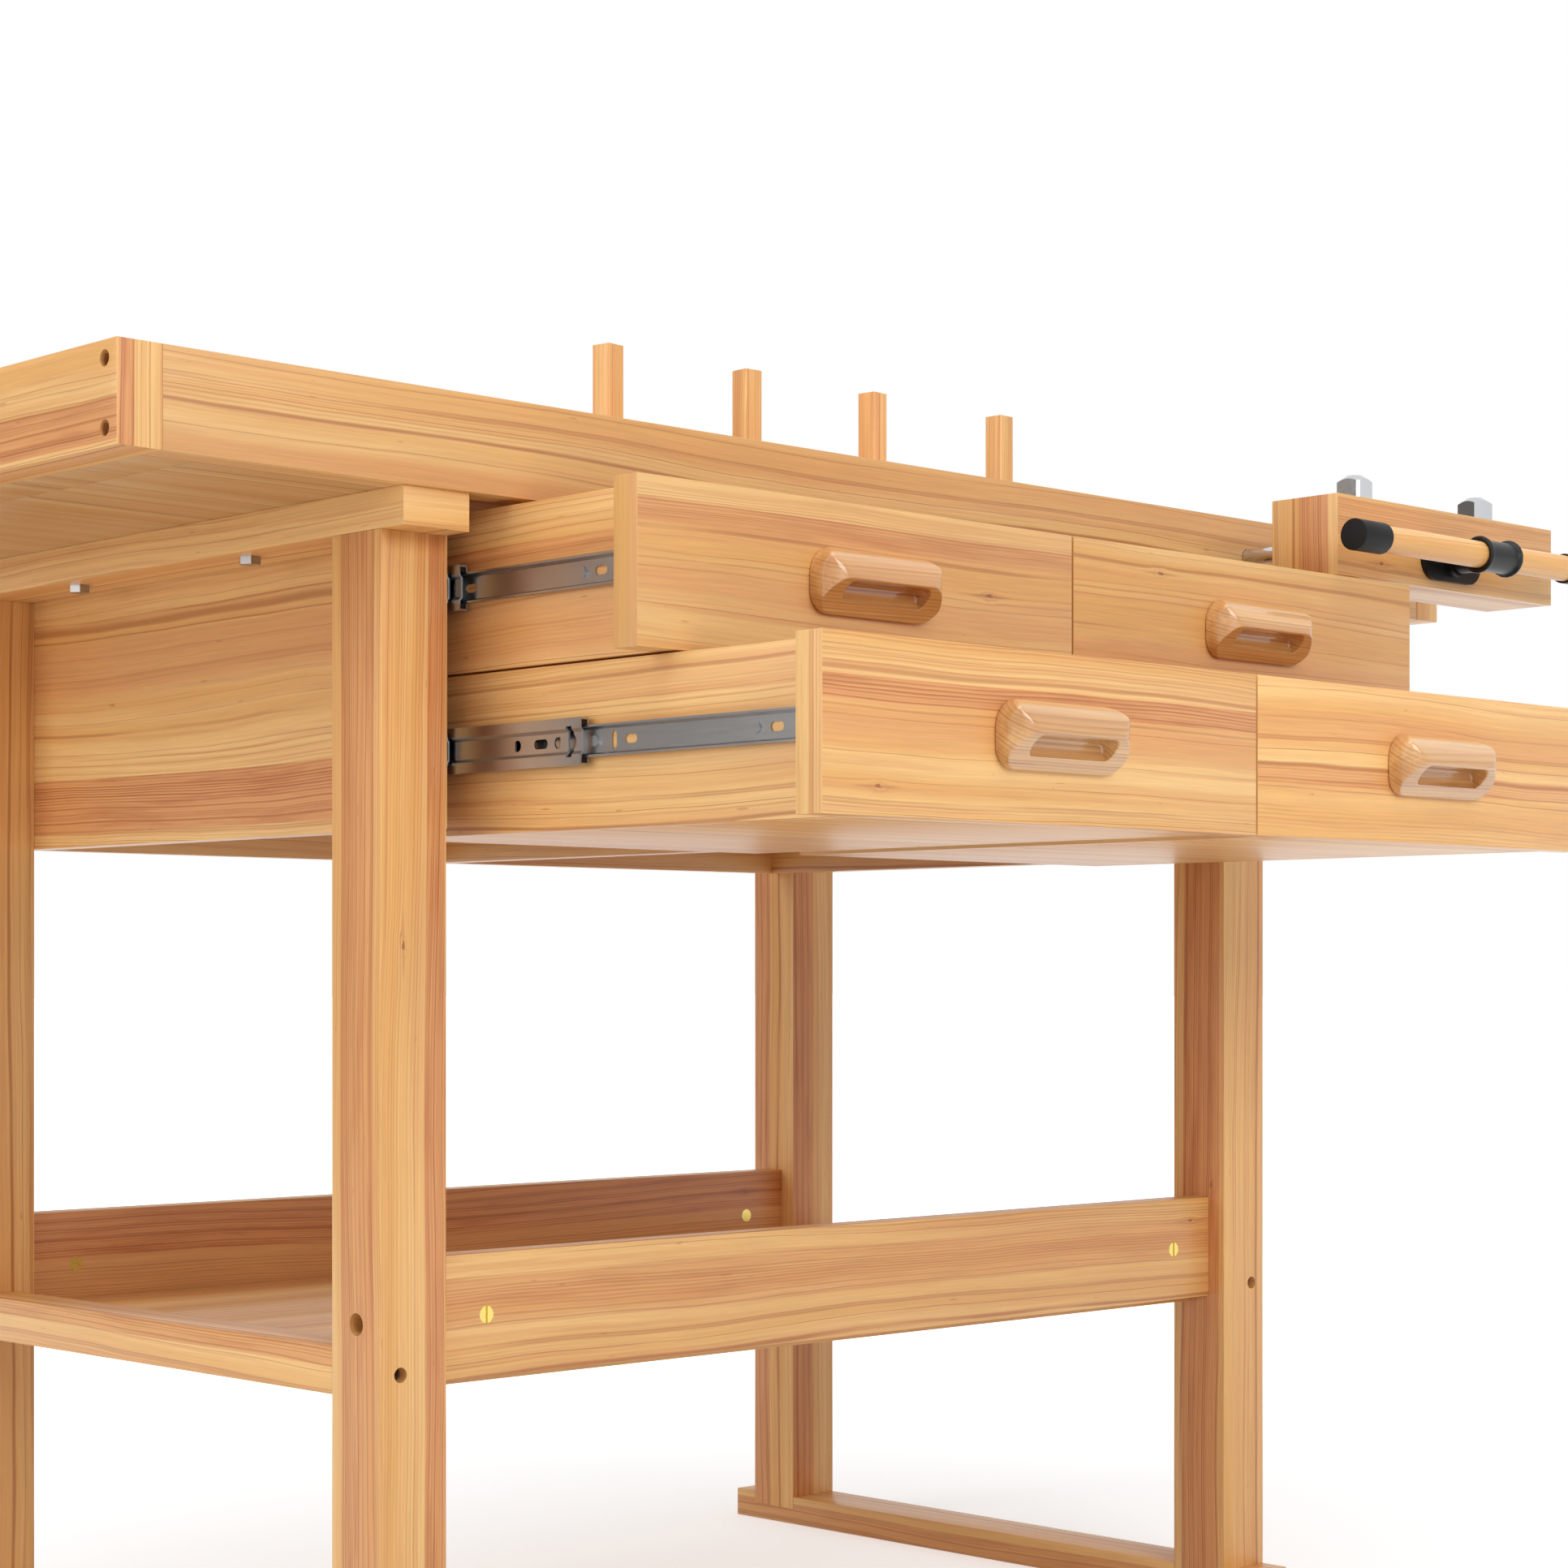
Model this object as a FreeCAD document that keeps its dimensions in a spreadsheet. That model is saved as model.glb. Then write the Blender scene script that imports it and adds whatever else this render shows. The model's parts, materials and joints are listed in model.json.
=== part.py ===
import FreeCAD, Part
import math
import os

# A woodworking bench with a front vise, an end vise, four drawers on telescopic slides and a low shelf.
#
# Bench coordinates, in millimetres: X from the left legs' outer faces, Y from the front legs' front
# faces, Z from the floor. Every placement is moved by the bench origin, the centre of the base.

doc = FreeCAD.newDocument("Workbench")
sheet = doc.addObject("Spreadsheet::Sheet", "Sizes")
Vector, Rotation, Placement = FreeCAD.Vector, FreeCAD.Rotation, FreeCAD.Placement

DIMENSIONS = {
    # leg frame
    "frame_length": 868, "frame_depth": 536, "leg_width": 50, "leg_top": 762,
    "foot_height": 24, "beam_height": 24, "beam_overhang": 23, "leg_housing": 11,
    # top
    "table_length": 1270, "table_depth": 590, "table_thickness": 60, "slab_thickness": 20,
    "cap_thickness": 30, "apron_thickness": 25, "lining_thickness": 10, "strip_width": 35.5,
    "lining_reach": 68, "bearer_width": 36, "bearer_setback": 32,
    "rear_dog_row": 348, "front_dog_row": 188, "dog_stave": 40,
    "dog_row_end": 104.5, "dog_step_1": 147.5, "dog_step_2": 135, "dog_step_3": 138,
    "vise_row_hole": 120,
    # rails and shelf
    "rail_bottom": 239, "rail_height": 78, "rail_thickness": 20, "rail_inset": 15,
    "end_rail_bottom": 233, "end_rail_height": 30, "end_rail_width": 35,
    "shelf_top": 253.5, "shelf_thickness": 10, "cleat_width": 15, "cleat_height": 10,
    "shelf_gap": 0.6,
    # cabinet
    "panel_thickness": 18, "back_thickness": 12, "cabinet_height": 203, "cabinet_front": 22,
    "cabinet_rear": 507,
    # drawers
    "front_thickness": 21, "front_height": 100.5, "front_gap": 1.5, "front_drop": 3.9,
    "side_gap": 2, "box_wall": 12, "box_bottom": 8, "box_length": 412,
    "upper_opening": 176, "lower_opening": 327.8,
    # telescopic slides, seen from the panel that carries them
    "slide_width": 12.7, "slide_length": 400, "slide_start": 23.2, "slide_rise": 52.3, "steel": 1.2,
    "band_half": 6.2,
    "outer_height": 35, "outer_depth": 10, "outer_lip": 2.6, "outer_step": 1.2,
    "outer_tongue": 16, "tongue_half": 9,
    "middle_height": 28.6, "middle_back": 2.9, "middle_depth": 6.9, "middle_lip": 4.5,
    "middle_step": 2, "middle_length": 360, "upper_middle_front": 14.4, "lower_middle_front": -102.5,
    "stop_length": 8, "stop_play": 0.2, "latch_length": 10,
    "inner_height": 19.2, "inner_depth": 5.7, "inner_ridge": 1.4,
    # windows stamped in the slides, from each one's front end
    "key_slot": 10.4, "key_slot_length": 5, "key_slot_height": 18.6, "key_radius": 5.6,
    "key_shift": 0.8, "first_eye": 23.3, "last_eye": 60.8, "eye_length": 5.6, "eye_height": 7,
    "oblong": 38.8, "oblong_length": 13, "oblong_height": 5.8,
    "first_slot": 43, "middle_slot": 167.8, "last_slot": 309, "slot_length": 11, "slot_height": 5.6,
    "upright_slot": 182.8, "upright_length": 4.6,
    "first_screw": 59, "middle_screw": 199, "last_screw": 359, "screw_head_radius": 3.3,
    "screw_head_height": 1.7,
    # pulls
    "pull_length": 105, "pull_height": 41.5, "pull_depth": 22, "pull_rise": 0.75, "pull_lip": 2,
    "pull_heel": 4, "pull_plan_corner": 17, "pull_top_corner": 18, "pull_bottom_corner": 13,
    "pull_blend": 6, "pull_edge": 1, "pull_slot": 80, "pull_slot_width": 17.8, "pull_slot_drop": 9.9,
    "pull_recess": 8.5, "pull_slot_floor": 5,
    # vises
    "jaw_width": 284, "jaw_thickness": 60, "vise_opening": 71.3,
    "end_vise_opening": 20, "vise_spread": 80, "rod_radius": 6, "rod_drop": 29.5,
    "rod_socket": 15, "rod_length": 213, "bearer_clearance": 23, "screw_radius": 8.7,
    "screw_drop": 38,
    "hub_reach": 39.3, "hub_length": 42, "hub_radius": 11.8, "hub_rim": 14.2, "rim_width": 3.6,
    "neck_radius": 10.4, "collar_radius": 12.6, "flange_length": 75, "flange_height": 32,
    "flange_thickness": 4, "collar_length": 6, "flange_screw": 24.6,
    "handle_radius": 10, "handle_length": 307, "handle_shift": -23.3, "cap_radius": 11.5,
    "cap_length": 33, "cap_wall": 3, "carrier_thickness": 12, "carrier_margin": 5,
    "boss_radius": 11.4, "boss_length": 24, "free_play": 0.3, "sliding_fit": 0.06,
    # bench dogs
    "dog_hole_radius": 9.5, "wood_dog_width": 17, "wood_dog_height": 101, "wood_shank": 58,
    "steel_dog_width": 20.6, "steel_dog_height": 22, "steel_shank": 20,
    # fasteners
    "hex_bolt_radius": 4, "hex_bolt_across": 7.5, "hex_head": 5.3, "hex_bolt_in": 18,
    "hex_bolt_spread": 103.5, "bolt_radius": 3, "bolt_head_radius": 5, "bolt_head_length": 6,
    "nut_radius": 5.5, "nut_setback": 43.5, "nut_slot_width": 1.5, "nut_slot_depth": 1,
    "leg_bore_radius": 7, "leg_bore_depth": 18,
    "end_bore_radius": 4.75, "end_bore_depth": 14, "end_bolt_in": 15, "end_nut_setback": 34,
    "end_nut_cover": 6,
    "cap_bolt_drop": 10.5, "cap_bolt_length": 56, "cap_bore_depth": 12,
}

WOOD_DOG_TURNS = (7.0, -1.7, 6.6, 4.0)  # degrees about Z, from left to right
STEEL_DOG_TURNS = (2.2, -8.0)
FRONT_VISE_SHARE = 0.1439  # of the way from the right legs to the right end cap

for row, (alias, length) in enumerate(DIMENSIONS.items(), start=1):
    sheet.set(f"A{row}", alias)
    sheet.set(f"B{row}", str(length))
    sheet.setAlias(f"B{row}", alias)
doc.recompute()


class Size:
    """A length worked out from the sheet: the text of its expression and its value."""

    def __init__(self, text, value):
        self.text = text
        self.value = value

    def __add__(self, other):
        other = as_size(other)
        return Size(f"({self.text} + {other.text})", self.value + other.value)

    def __sub__(self, other):
        other = as_size(other)
        return Size(f"({self.text} - {other.text})", self.value - other.value)

    def __rsub__(self, other):
        return as_size(other) - self

    def __mul__(self, factor):
        return Size(f"({self.text} * {factor})", self.value * factor)

    def __truediv__(self, divisor):
        return Size(f"({self.text} / {divisor})", self.value / divisor)

    def __neg__(self):
        return Size(f"(0 - {self.text})", -self.value)

    __radd__ = __add__


def as_size(length):
    return length if isinstance(length, Size) else Size(repr(length), length)


class Driving:
    """The sheet's driving dimensions by name, such as d.leg_width."""

    def __getattr__(self, alias):
        return Size(f"Sizes.{alias}", float(DIMENSIONS[alias]))


d = Driving()

# Levels and faces that several pieces share.
frame_right = d.frame_length
frame_rear = d.frame_depth
beam_top = d.leg_top + d.beam_height
table_top = beam_top + d.table_thickness
slab_bottom = table_top - d.slab_thickness
lining_top = beam_top + d.lining_thickness
table_left = (d.frame_length - d.table_length) / 2
table_right = (d.frame_length + d.table_length) / 2
table_front = (d.frame_depth - d.table_depth) / 2
table_rear = (d.frame_depth + d.table_depth) / 2
cap_inner_left = table_left + d.cap_thickness
cap_inner_right = table_right - d.cap_thickness
apron_inner_front = table_front + d.apron_thickness
apron_inner_rear = table_rear - d.apron_thickness
panel_left = d.leg_width + d.panel_thickness
panel_right = frame_right - panel_left
divider_left = frame_right / 2 - d.panel_thickness / 2
divider_right = frame_right / 2 + d.panel_thickness / 2
cabinet_bottom = beam_top - d.cabinet_height
lower_front_bottom = cabinet_bottom - d.front_drop
upper_front_bottom = lower_front_bottom + d.front_height + d.front_gap
rod_level = table_top - d.rod_drop
screw_level = table_top - d.screw_drop
dog_4 = frame_right - d.dog_row_end
dog_3 = dog_4 - d.dog_step_1
dog_2 = dog_3 - d.dog_step_2
dog_1 = dog_2 - d.dog_step_3
front_vise_centre = frame_right + (cap_inner_right - frame_right) * FRONT_VISE_SHARE
end_vise_centre = frame_rear / 2
hub_right = table_right + d.end_vise_opening + d.jaw_thickness + d.hub_reach + d.hub_rim

# The bench origin: the middle of everything at rest, on the floor.
origin_x = (table_left + hub_right) / 2
origin_y = (table_rear - d.lower_opening - d.pull_depth) / 2

ALONG = {"x": Rotation(Vector(0, 1, 0), 90), "y": Rotation(Vector(1, 0, 0), -90), "z": Rotation()}
nodes = []


def index_of(axis):
    return "xyz".index(axis)


def bind(item, **fields):
    for field, length in fields.items():
        item.setExpression(field, as_size(length).text)


def place(item, x, y, z, rotation=Rotation()):
    """Put an object at a bench position, bound to the sheet."""
    item.Placement = Placement(Vector(), rotation)
    item.setExpression("Placement.Base.x", (as_size(x) - origin_x).text)
    item.setExpression("Placement.Base.y", (as_size(y) - origin_y).text)
    item.setExpression("Placement.Base.z", as_size(z).text)
    return item


def board(x_range, y_range, z_range):
    """A rectangular piece between two corners."""
    item = doc.addObject("Part::Box", "board")
    (x0, x1), (y0, y1), (z0, z1) = x_range, y_range, z_range
    bind(item, Length=x1 - as_size(x0), Width=y1 - as_size(y0), Height=z1 - as_size(z0))
    return place(item, x0, y0, z0)


def round_bar(axis, start, length, radius, way=1):
    """A cylinder from a start point along +axis, or along -axis when way is -1."""
    item = doc.addObject("Part::Cylinder", "round_bar")
    bind(item, Radius=radius, Height=length)
    low = list(start)
    if way < 0:
        low[index_of(axis)] = low[index_of(axis)] - length
    return place(item, *low, ALONG[axis])


def hexagon(axis, start, length, corner_radius, way=1):
    """A six-sided bar, laid like round_bar."""
    item = doc.addObject("Part::Prism", "hexagon")
    item.Polygon = 6
    bind(item, Circumradius=corner_radius, Height=length)
    low = list(start)
    if way < 0:
        low[index_of(axis)] = low[index_of(axis)] - length
    return place(item, *low, ALONG[axis])


def group(items):
    """Separate solids held together as one object."""
    if len(items) == 1:
        return items[0]
    bundle = doc.addObject("Part::Compound", "group")
    bundle.Links = items
    return bundle


def fuse(items):
    joined = doc.addObject("Part::MultiFuse", "fuse")
    joined.Shapes = items
    joined.Refine = True
    return joined


def cut(base, tools):
    if not tools:
        return base
    result = doc.addObject("Part::Cut", "cut")
    result.Base = base
    result.Tool = group(tools)
    return result


def common(base, tool):
    result = doc.addObject("Part::Common", "common")
    result.Base = base
    result.Tool = tool
    return result


def node(name, item):
    item.Label = name
    nodes.append(item)
    return item


def shaped(shape, x, y, z):
    """A piece neither a primitive nor a sketch feature: a Part::Feature drawn about a bench position."""
    item = doc.addObject("Part::Feature", "shaped")
    item.Shape = shape
    return place(item, x, y, z)


def mirror_x(x_range):
    """The same stretch counted from the right legs' outer faces."""
    return frame_right - x_range[1], frame_right - x_range[0]


def mirror_y(y_range):
    return frame_rear - y_range[1], frame_rear - y_range[0]


LEG_X = ((Size("0", 0.0), d.leg_width), (frame_right - d.leg_width, frame_right))
LEG_Y = ((Size("0", 0.0), d.leg_width), (frame_rear - d.leg_width, frame_rear))
WAYS = (1, -1)


# ---------------------------------------------------------------- fasteners and the holes they need

socket_bolts = []
barrel_nuts = []


def socket_bolt(axis, way, mouth, bore_radius, bore_depth, length):
    """A hex-socket bolt sunk in a counterbore; returns the tool that cuts its counterbore and hole."""
    place_at = index_of(axis)
    seat = list(mouth)
    seat[place_at] = mouth[place_at] + bore_depth * way
    head_end = list(seat)
    head_end[place_at] = seat[place_at] - d.bolt_head_length * way
    head_radius = d.bolt_head_radius if bore_radius.value > d.bolt_head_radius.value else bore_radius
    head = round_bar(axis, head_end, d.bolt_head_length, head_radius, way)
    shank = round_bar(axis, seat, length, d.bolt_radius, way)
    socket = hexagon(axis, head_end, d.bolt_head_length / 2, d.bolt_radius, way)
    socket_bolts.append(cut(fuse([head, shank]), [socket]))
    return group([
        round_bar(axis, mouth, bore_depth, bore_radius, way),
        round_bar(axis, seat, length, d.bolt_radius, way),
    ])


def barrel_nut(axis, way, face, length, bolt_axis, bolt_depth):
    """A slotted cross dowel seen on a face, with the threaded hole that takes its bolt."""
    middle = list(face)
    middle[index_of(axis)] = face[index_of(axis)] + bolt_depth * way
    across = list(middle)
    across[index_of(bolt_axis)] = middle[index_of(bolt_axis)] - d.nut_radius * 2
    slot = [(place_at - d.nut_slot_width / 2, place_at + d.nut_slot_width / 2) for place_at in face]
    slot[index_of(axis)] = (face[index_of(axis)] - d.nut_slot_depth, face[index_of(axis)] + d.nut_slot_depth)
    long_way = index_of(bolt_axis if axis == "z" else "z")
    slot[long_way] = (face[long_way] - d.nut_radius * 2, face[long_way] + d.nut_radius * 2)
    tools = [
        round_bar(bolt_axis, across, d.nut_radius * 4, d.bolt_radius),
        board(*slot),
    ]
    barrel_nuts.append(cut(round_bar(axis, face, length, d.nut_radius, way), tools))
    return round_bar(axis, face, length, d.nut_radius, way)


# ---------------------------------------------------------------- top

def vise_hole_tools(axis, way, mouth, centre, length, rod_play, screw_play):
    """Two guide-rod holes and a screw hole through a wall of the top or a jaw."""
    across = 1 - index_of(axis)
    tools = []
    for side in (-1, 0, 1):
        start = [None, None, rod_level if side else screw_level]
        start[index_of(axis)] = mouth
        start[across] = centre + d.vise_spread * side
        radius = d.rod_radius + rod_play if side else d.screw_radius + screw_play
        tools.append(round_bar(axis, start, length, radius, way))
    return tools


def make_top():
    dog_row = (dog_1, dog_2, dog_3, dog_4)
    row_holes = [(x, y) for y in (d.front_dog_row, d.rear_dog_row) for x in dog_row]
    vise_holes = [(front_vise_centre + d.vise_spread * side, d.vise_row_hole) for side in WAYS]
    half = d.dog_stave / 2
    seams = [apron_inner_front, d.front_dog_row - half, d.front_dog_row + half,
             d.rear_dog_row - half, d.rear_dog_row + half, apron_inner_rear]
    staves = []
    for low, high in zip(seams, seams[1:]):
        stave = board((cap_inner_left, cap_inner_right), (low, high), (slab_bottom, table_top))
        tools = [round_bar("z", (x, y, slab_bottom), d.slab_thickness, d.dog_hole_radius)
                 for x, y in row_holes + vise_holes if low.value < y.value < high.value]
        staves.append(cut(stave, tools))
    node("top_boards", group(staves))

    levels = (table_top - d.cap_bolt_drop, beam_top + d.cap_bolt_drop)
    cap_tools = {1: [], -1: []}
    for outer, way in ((table_left, 1), (table_right, -1)):
        for apron_middle in (table_front + d.apron_thickness / 2, table_rear - d.apron_thickness / 2):
            for level in levels:
                cap_tools[way].append(socket_bolt("x", way, [outer, apron_middle, level],
                                                  d.end_bore_radius, d.cap_bore_depth, d.cap_bolt_length))
    every_cap_tool = cap_tools[1] + cap_tools[-1]
    span = (cap_inner_left, cap_inner_right)
    front = board(span, (table_front, apron_inner_front), (beam_top, table_top))
    front_holes = vise_hole_tools("y", 1, table_front, front_vise_centre, d.apron_thickness,
                                  d.free_play, d.free_play)
    node("front_apron", cut(front, every_cap_tool + front_holes))
    rear = board(span, (apron_inner_rear, table_rear), (beam_top, table_top))
    node("rear_apron", cut(rear, every_cap_tool))
    depth = (table_front, table_rear)
    left_cap = board((table_left, cap_inner_left), depth, (beam_top, table_top))
    node("left_end_cap", cut(left_cap, cap_tools[1]))
    right_cap = board((cap_inner_right, table_right), depth, (beam_top, table_top))
    end_holes = vise_hole_tools("x", -1, table_right, end_vise_centre, d.cap_thickness,
                                d.free_play, d.free_play)
    node("right_end_cap", cut(right_cap, cap_tools[-1] + end_holes))


def make_top_supports():
    """Boards that close the ends of the top below, bearers over the beams, and the beams' hex bolts."""
    inner = (apron_inner_front, apron_inner_rear)
    strip_end = cap_inner_left + d.strip_width
    lining = (beam_top, lining_top)
    bearer_y = (apron_inner_front + d.bearer_setback, apron_inner_rear - d.bearer_setback)
    bolts, boards, bearers, beams = [], [], [], []
    for side, (beam_x, flip) in enumerate(zip(LEG_X, (lambda r: r, mirror_x))):
        bolt_x = flip((d.hex_bolt_in, d.hex_bolt_in))[0]
        holes = []
        for way in WAYS:
            y = frame_rear / 2 + d.hex_bolt_spread * way
            length = d.beam_height + d.lining_thickness + d.bearer_width / 2
            shank = round_bar("z", (bolt_x, y, d.leg_top), length, d.hex_bolt_radius)
            head = hexagon("z", (bolt_x, y, d.leg_top - d.hex_head), d.hex_head, d.hex_bolt_across)
            bolts.append(fuse([shank, head]))
            holes.append(round_bar("z", (bolt_x, y, d.leg_top), length, d.hex_bolt_radius))
        boards.append(cut(board(flip((strip_end, d.lining_reach)), inner, lining), holes))
        boards.append(board(flip((cap_inner_left, strip_end)), inner, lining))
        bearer = board(flip((as_size(0), d.bearer_width)), bearer_y, (lining_top, slab_bottom))
        bearers.append(cut(bearer, holes))
        overhang = (-d.beam_overhang, frame_rear + d.beam_overhang)
        beams.append(cut(board(beam_x, overhang, (d.leg_top, beam_top)), holes))
    node("underside_boards", group(boards))
    node("top_bearers", group(bearers))
    node("top_beams", group(beams))
    node("beam_bolts", group(bolts))


# ---------------------------------------------------------------- legs, feet, rails and shelf

def make_frame():
    rail_middle = d.rail_bottom + d.rail_height / 2
    end_rail_middle = d.end_rail_bottom + d.end_rail_height / 2
    rail_y = (d.rail_inset, d.rail_inset + d.rail_thickness)
    nut_length = d.rail_thickness - d.free_play
    leg_tools, rail_tools, end_rail_tools = [], [], []
    for outer, way_x in ((as_size(0), 1), (frame_right, -1)):
        for face, way_y in ((as_size(0), 1), (frame_rear, -1)):
            bolt_y = face + d.leg_width / 2 * way_y
            tool = socket_bolt("x", way_x, [outer, bolt_y, rail_middle], d.leg_bore_radius,
                               d.leg_bore_depth, d.leg_width - d.leg_bore_depth + d.nut_setback)
            leg_tools.append(tool)
            nut_x = outer + (d.leg_width + d.nut_setback) * way_x
            nut_face = face + d.rail_inset * way_y
            nut = barrel_nut("y", way_y, [nut_x, nut_face, rail_middle], nut_length, "x",
                             d.rail_thickness / 2)
            rail_tools += [tool, nut]
            bolt_x = outer + d.end_bolt_in * way_x
            end_tool = socket_bolt("y", way_y, [bolt_x, face, end_rail_middle], d.end_bore_radius,
                                   d.end_bore_depth, d.leg_width - d.end_bore_depth + d.end_nut_setback)
            leg_tools.append(end_tool)
            end_nut_y = face + (d.leg_width + d.end_nut_setback) * way_y
            end_nut = barrel_nut("z", 1, [bolt_x, end_nut_y, d.end_rail_bottom],
                                 d.end_rail_height - d.end_nut_cover, "y", d.end_rail_height / 2)
            end_rail_tools += [end_tool, end_nut]
    leg_bottom = d.foot_height - d.leg_housing
    legs, feet = [], []
    for leg_x in LEG_X:
        legs += [board(leg_x, leg_y, (leg_bottom, d.leg_top)) for leg_y in LEG_Y]
        foot = board(leg_x, (-d.beam_overhang, frame_rear + d.beam_overhang), (as_size(0), d.foot_height))
        feet.append(cut(foot, [board(leg_x, leg_y, (leg_bottom, d.foot_height)) for leg_y in LEG_Y]))
    node("legs", cut(group(legs), leg_tools))
    node("feet", group(feet))

    rail_x = (d.leg_width, frame_right - d.leg_width)
    rail_z = (d.rail_bottom, d.rail_bottom + d.rail_height)
    rails = [board(rail_x, y_range, rail_z) for y_range in (rail_y, mirror_y(rail_y))]
    node("long_shelf_rails", cut(group(rails), rail_tools))
    end_x = (as_size(0), d.end_rail_width)
    end_y = (d.leg_width, frame_rear - d.leg_width)
    end_z = (d.end_rail_bottom, d.end_rail_bottom + d.end_rail_height)
    end_rails = [board(x_range, end_y, end_z) for x_range in (end_x, mirror_x(end_x))]
    node("end_shelf_rails", cut(group(end_rails), end_rail_tools))


def make_shelf():
    """Five boards along the bench on two cleats; the outer boards stop short of the legs."""
    boards_across = 5
    inner_front = d.rail_inset + d.rail_thickness
    inner_rear = frame_rear - inner_front
    width = (inner_rear - inner_front) / boards_across
    levels = (d.shelf_top - d.shelf_thickness, d.shelf_top)
    boards = []
    for index in range(boards_across):
        beside_legs = index in (0, boards_across - 1)
        end = d.leg_width if beside_legs else d.end_rail_width
        low = inner_front + width * index + d.shelf_gap / 2
        high = inner_front + width * (index + 1) - d.shelf_gap / 2
        boards.append(board((end, frame_right - end), (low, high), levels))
    cleat_y = (inner_front, inner_front + d.cleat_width)
    cleat_z = (levels[0] - d.cleat_height, levels[0])
    for y_range in (cleat_y, mirror_y(cleat_y)):
        boards.append(board((d.leg_width, frame_right - d.leg_width), y_range, cleat_z))
    node("shelf_boards", group(boards))


# ---------------------------------------------------------------- cabinet and drawers

def make_cabinet():
    z_range = (cabinet_bottom, beam_top)
    y_range = (d.cabinet_front, d.cabinet_rear)
    side = (d.leg_width, panel_left)
    node("side_panels", group([board(x_range, y_range, z_range) for x_range in (side, mirror_x(side))]))
    back_y = (d.cabinet_rear - d.back_thickness, d.cabinet_rear)
    node("back_panel", board((panel_left, panel_right), back_y, z_range))
    divider_y = (d.cabinet_front, back_y[0])
    node("centre_divider", board((divider_left, divider_right), divider_y, z_range))


class SlideSide:
    """Places slide pieces by their distance u from the panel that carries them."""

    def __init__(self, panel_face, way):
        self.face = panel_face
        self.way = way

    def x_range(self, u0, u1):
        ends = (self.face + u0 * self.way, self.face + u1 * self.way)
        return ends if self.way > 0 else ends[::-1]

    def piece(self, u_range, y_range, z_range):
        return board(self.x_range(*u_range), y_range, z_range)

    def web(self):
        """The stretch of u that goes through the webs of the middle and the drawer's members."""
        return self.x_range(d.middle_back - d.steel, d.slide_width - d.steel / 3)

    def disc(self, y, z, radius):
        low, high = self.web()
        return round_bar("x", (low, y, z), high - low, radius)

    def oblong(self, y, z, length, height):
        """A window with round ends, long along Y, or along Z when it is taller."""
        lengthwise = length.value > height.value
        radius = (height if lengthwise else length) / 2
        reach = (length if lengthwise else height) / 2 - radius
        ends = [(y + reach * way, z) if lengthwise else (y, z + reach * way) for way in WAYS]
        half_y, half_z = (reach, radius) if lengthwise else (radius, reach)
        between = board(self.web(), (y - half_y, y + half_y), (z - half_z, z + half_z))
        return fuse([self.disc(*end, radius) for end in ends] + [between])

    def eye(self, y, z, round_way):
        """A window round on one side along Y and flat on the other."""
        radius = d.eye_height / 2
        flat = y - d.eye_length / 2 * round_way
        tip = y + d.eye_length / 2 * round_way
        ends = (flat, tip) if round_way > 0 else (tip, flat)
        return common(self.disc(tip - radius * round_way, z, radius),
                      board(self.web(), ends, (z - radius, z + radius)))

    def key_slot(self, y, z):
        """A tall slot across the band, with a round bay towards the front."""
        half_y, half_z = d.key_slot_length / 2, d.key_slot_height / 2
        slot = board(self.web(), (y - half_y, y + half_y), (z - half_z, z + half_z))
        bay_y = (y + d.key_shift - d.key_radius, y + half_y)
        bay = common(self.disc(y + d.key_shift, z, d.key_radius),
                     board(self.web(), bay_y, (z - d.key_radius, z + d.key_radius)))
        return fuse([slot, bay])

    def rolled(self, line, y, z, length):
        """Steel strip bent along a line of (u, height) points, which its inner face follows."""
        upper = [(as_size(u).value, as_size(height).value) for u, height in line]
        lower = [(u, -height) for u, height in reversed(upper)]
        wire = Part.makePolygon([Vector(u, 0, height) for u, height in upper + lower])
        outward = d.steel.value if upper[0][0] < upper[-1][0] else -d.steel.value
        strip = wire.makeOffset2D(outward, join=2, fill=True, openResult=True)
        shape = strip.extrude(Vector(0, length.value, 0))
        if self.way < 0:
            shape = shape.mirror(Vector(), Vector(1, 0, 0))
        return shaped(shape, self.face, y, z)


def level_pair(z, low, high):
    """The same stretch of height above and below a slide's centre line."""
    return (z + low, z + high), (z - high, z - low)


def outer_member(side, z):
    """The channel screwed to the cabinet, its web's tongue in front, and a plastic latch there."""
    half = d.outer_height / 2 - d.steel
    lip = d.outer_depth - d.steel
    line = [(lip, half + d.steel - d.outer_lip), (lip, half), (d.steel, half),
            (d.steel, d.band_half + d.outer_step), (d.steel + d.outer_step, d.band_half)]
    channel = side.rolled(line, d.slide_start, z, d.slide_length)
    front = (d.slide_start, d.slide_start + d.outer_tongue)
    over_u = (as_size(0), d.outer_depth)
    waste = [side.piece(over_u, front, levels)
             for levels in level_pair(z, d.tongue_half, d.outer_height / 2)]
    latch_u = (d.steel + d.outer_step, d.middle_back - d.stop_play)
    latch_y = (d.slide_start, d.slide_start + d.latch_length)
    latch = [side.piece((d.steel, latch_u[0]), latch_y, levels)
             for levels in level_pair(z, d.band_half + d.outer_step, d.tongue_half)]
    latch.append(side.piece(latch_u, latch_y, (z - d.tongue_half, z + d.tongue_half)))
    return [cut(channel, waste), fuse(latch)]


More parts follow.
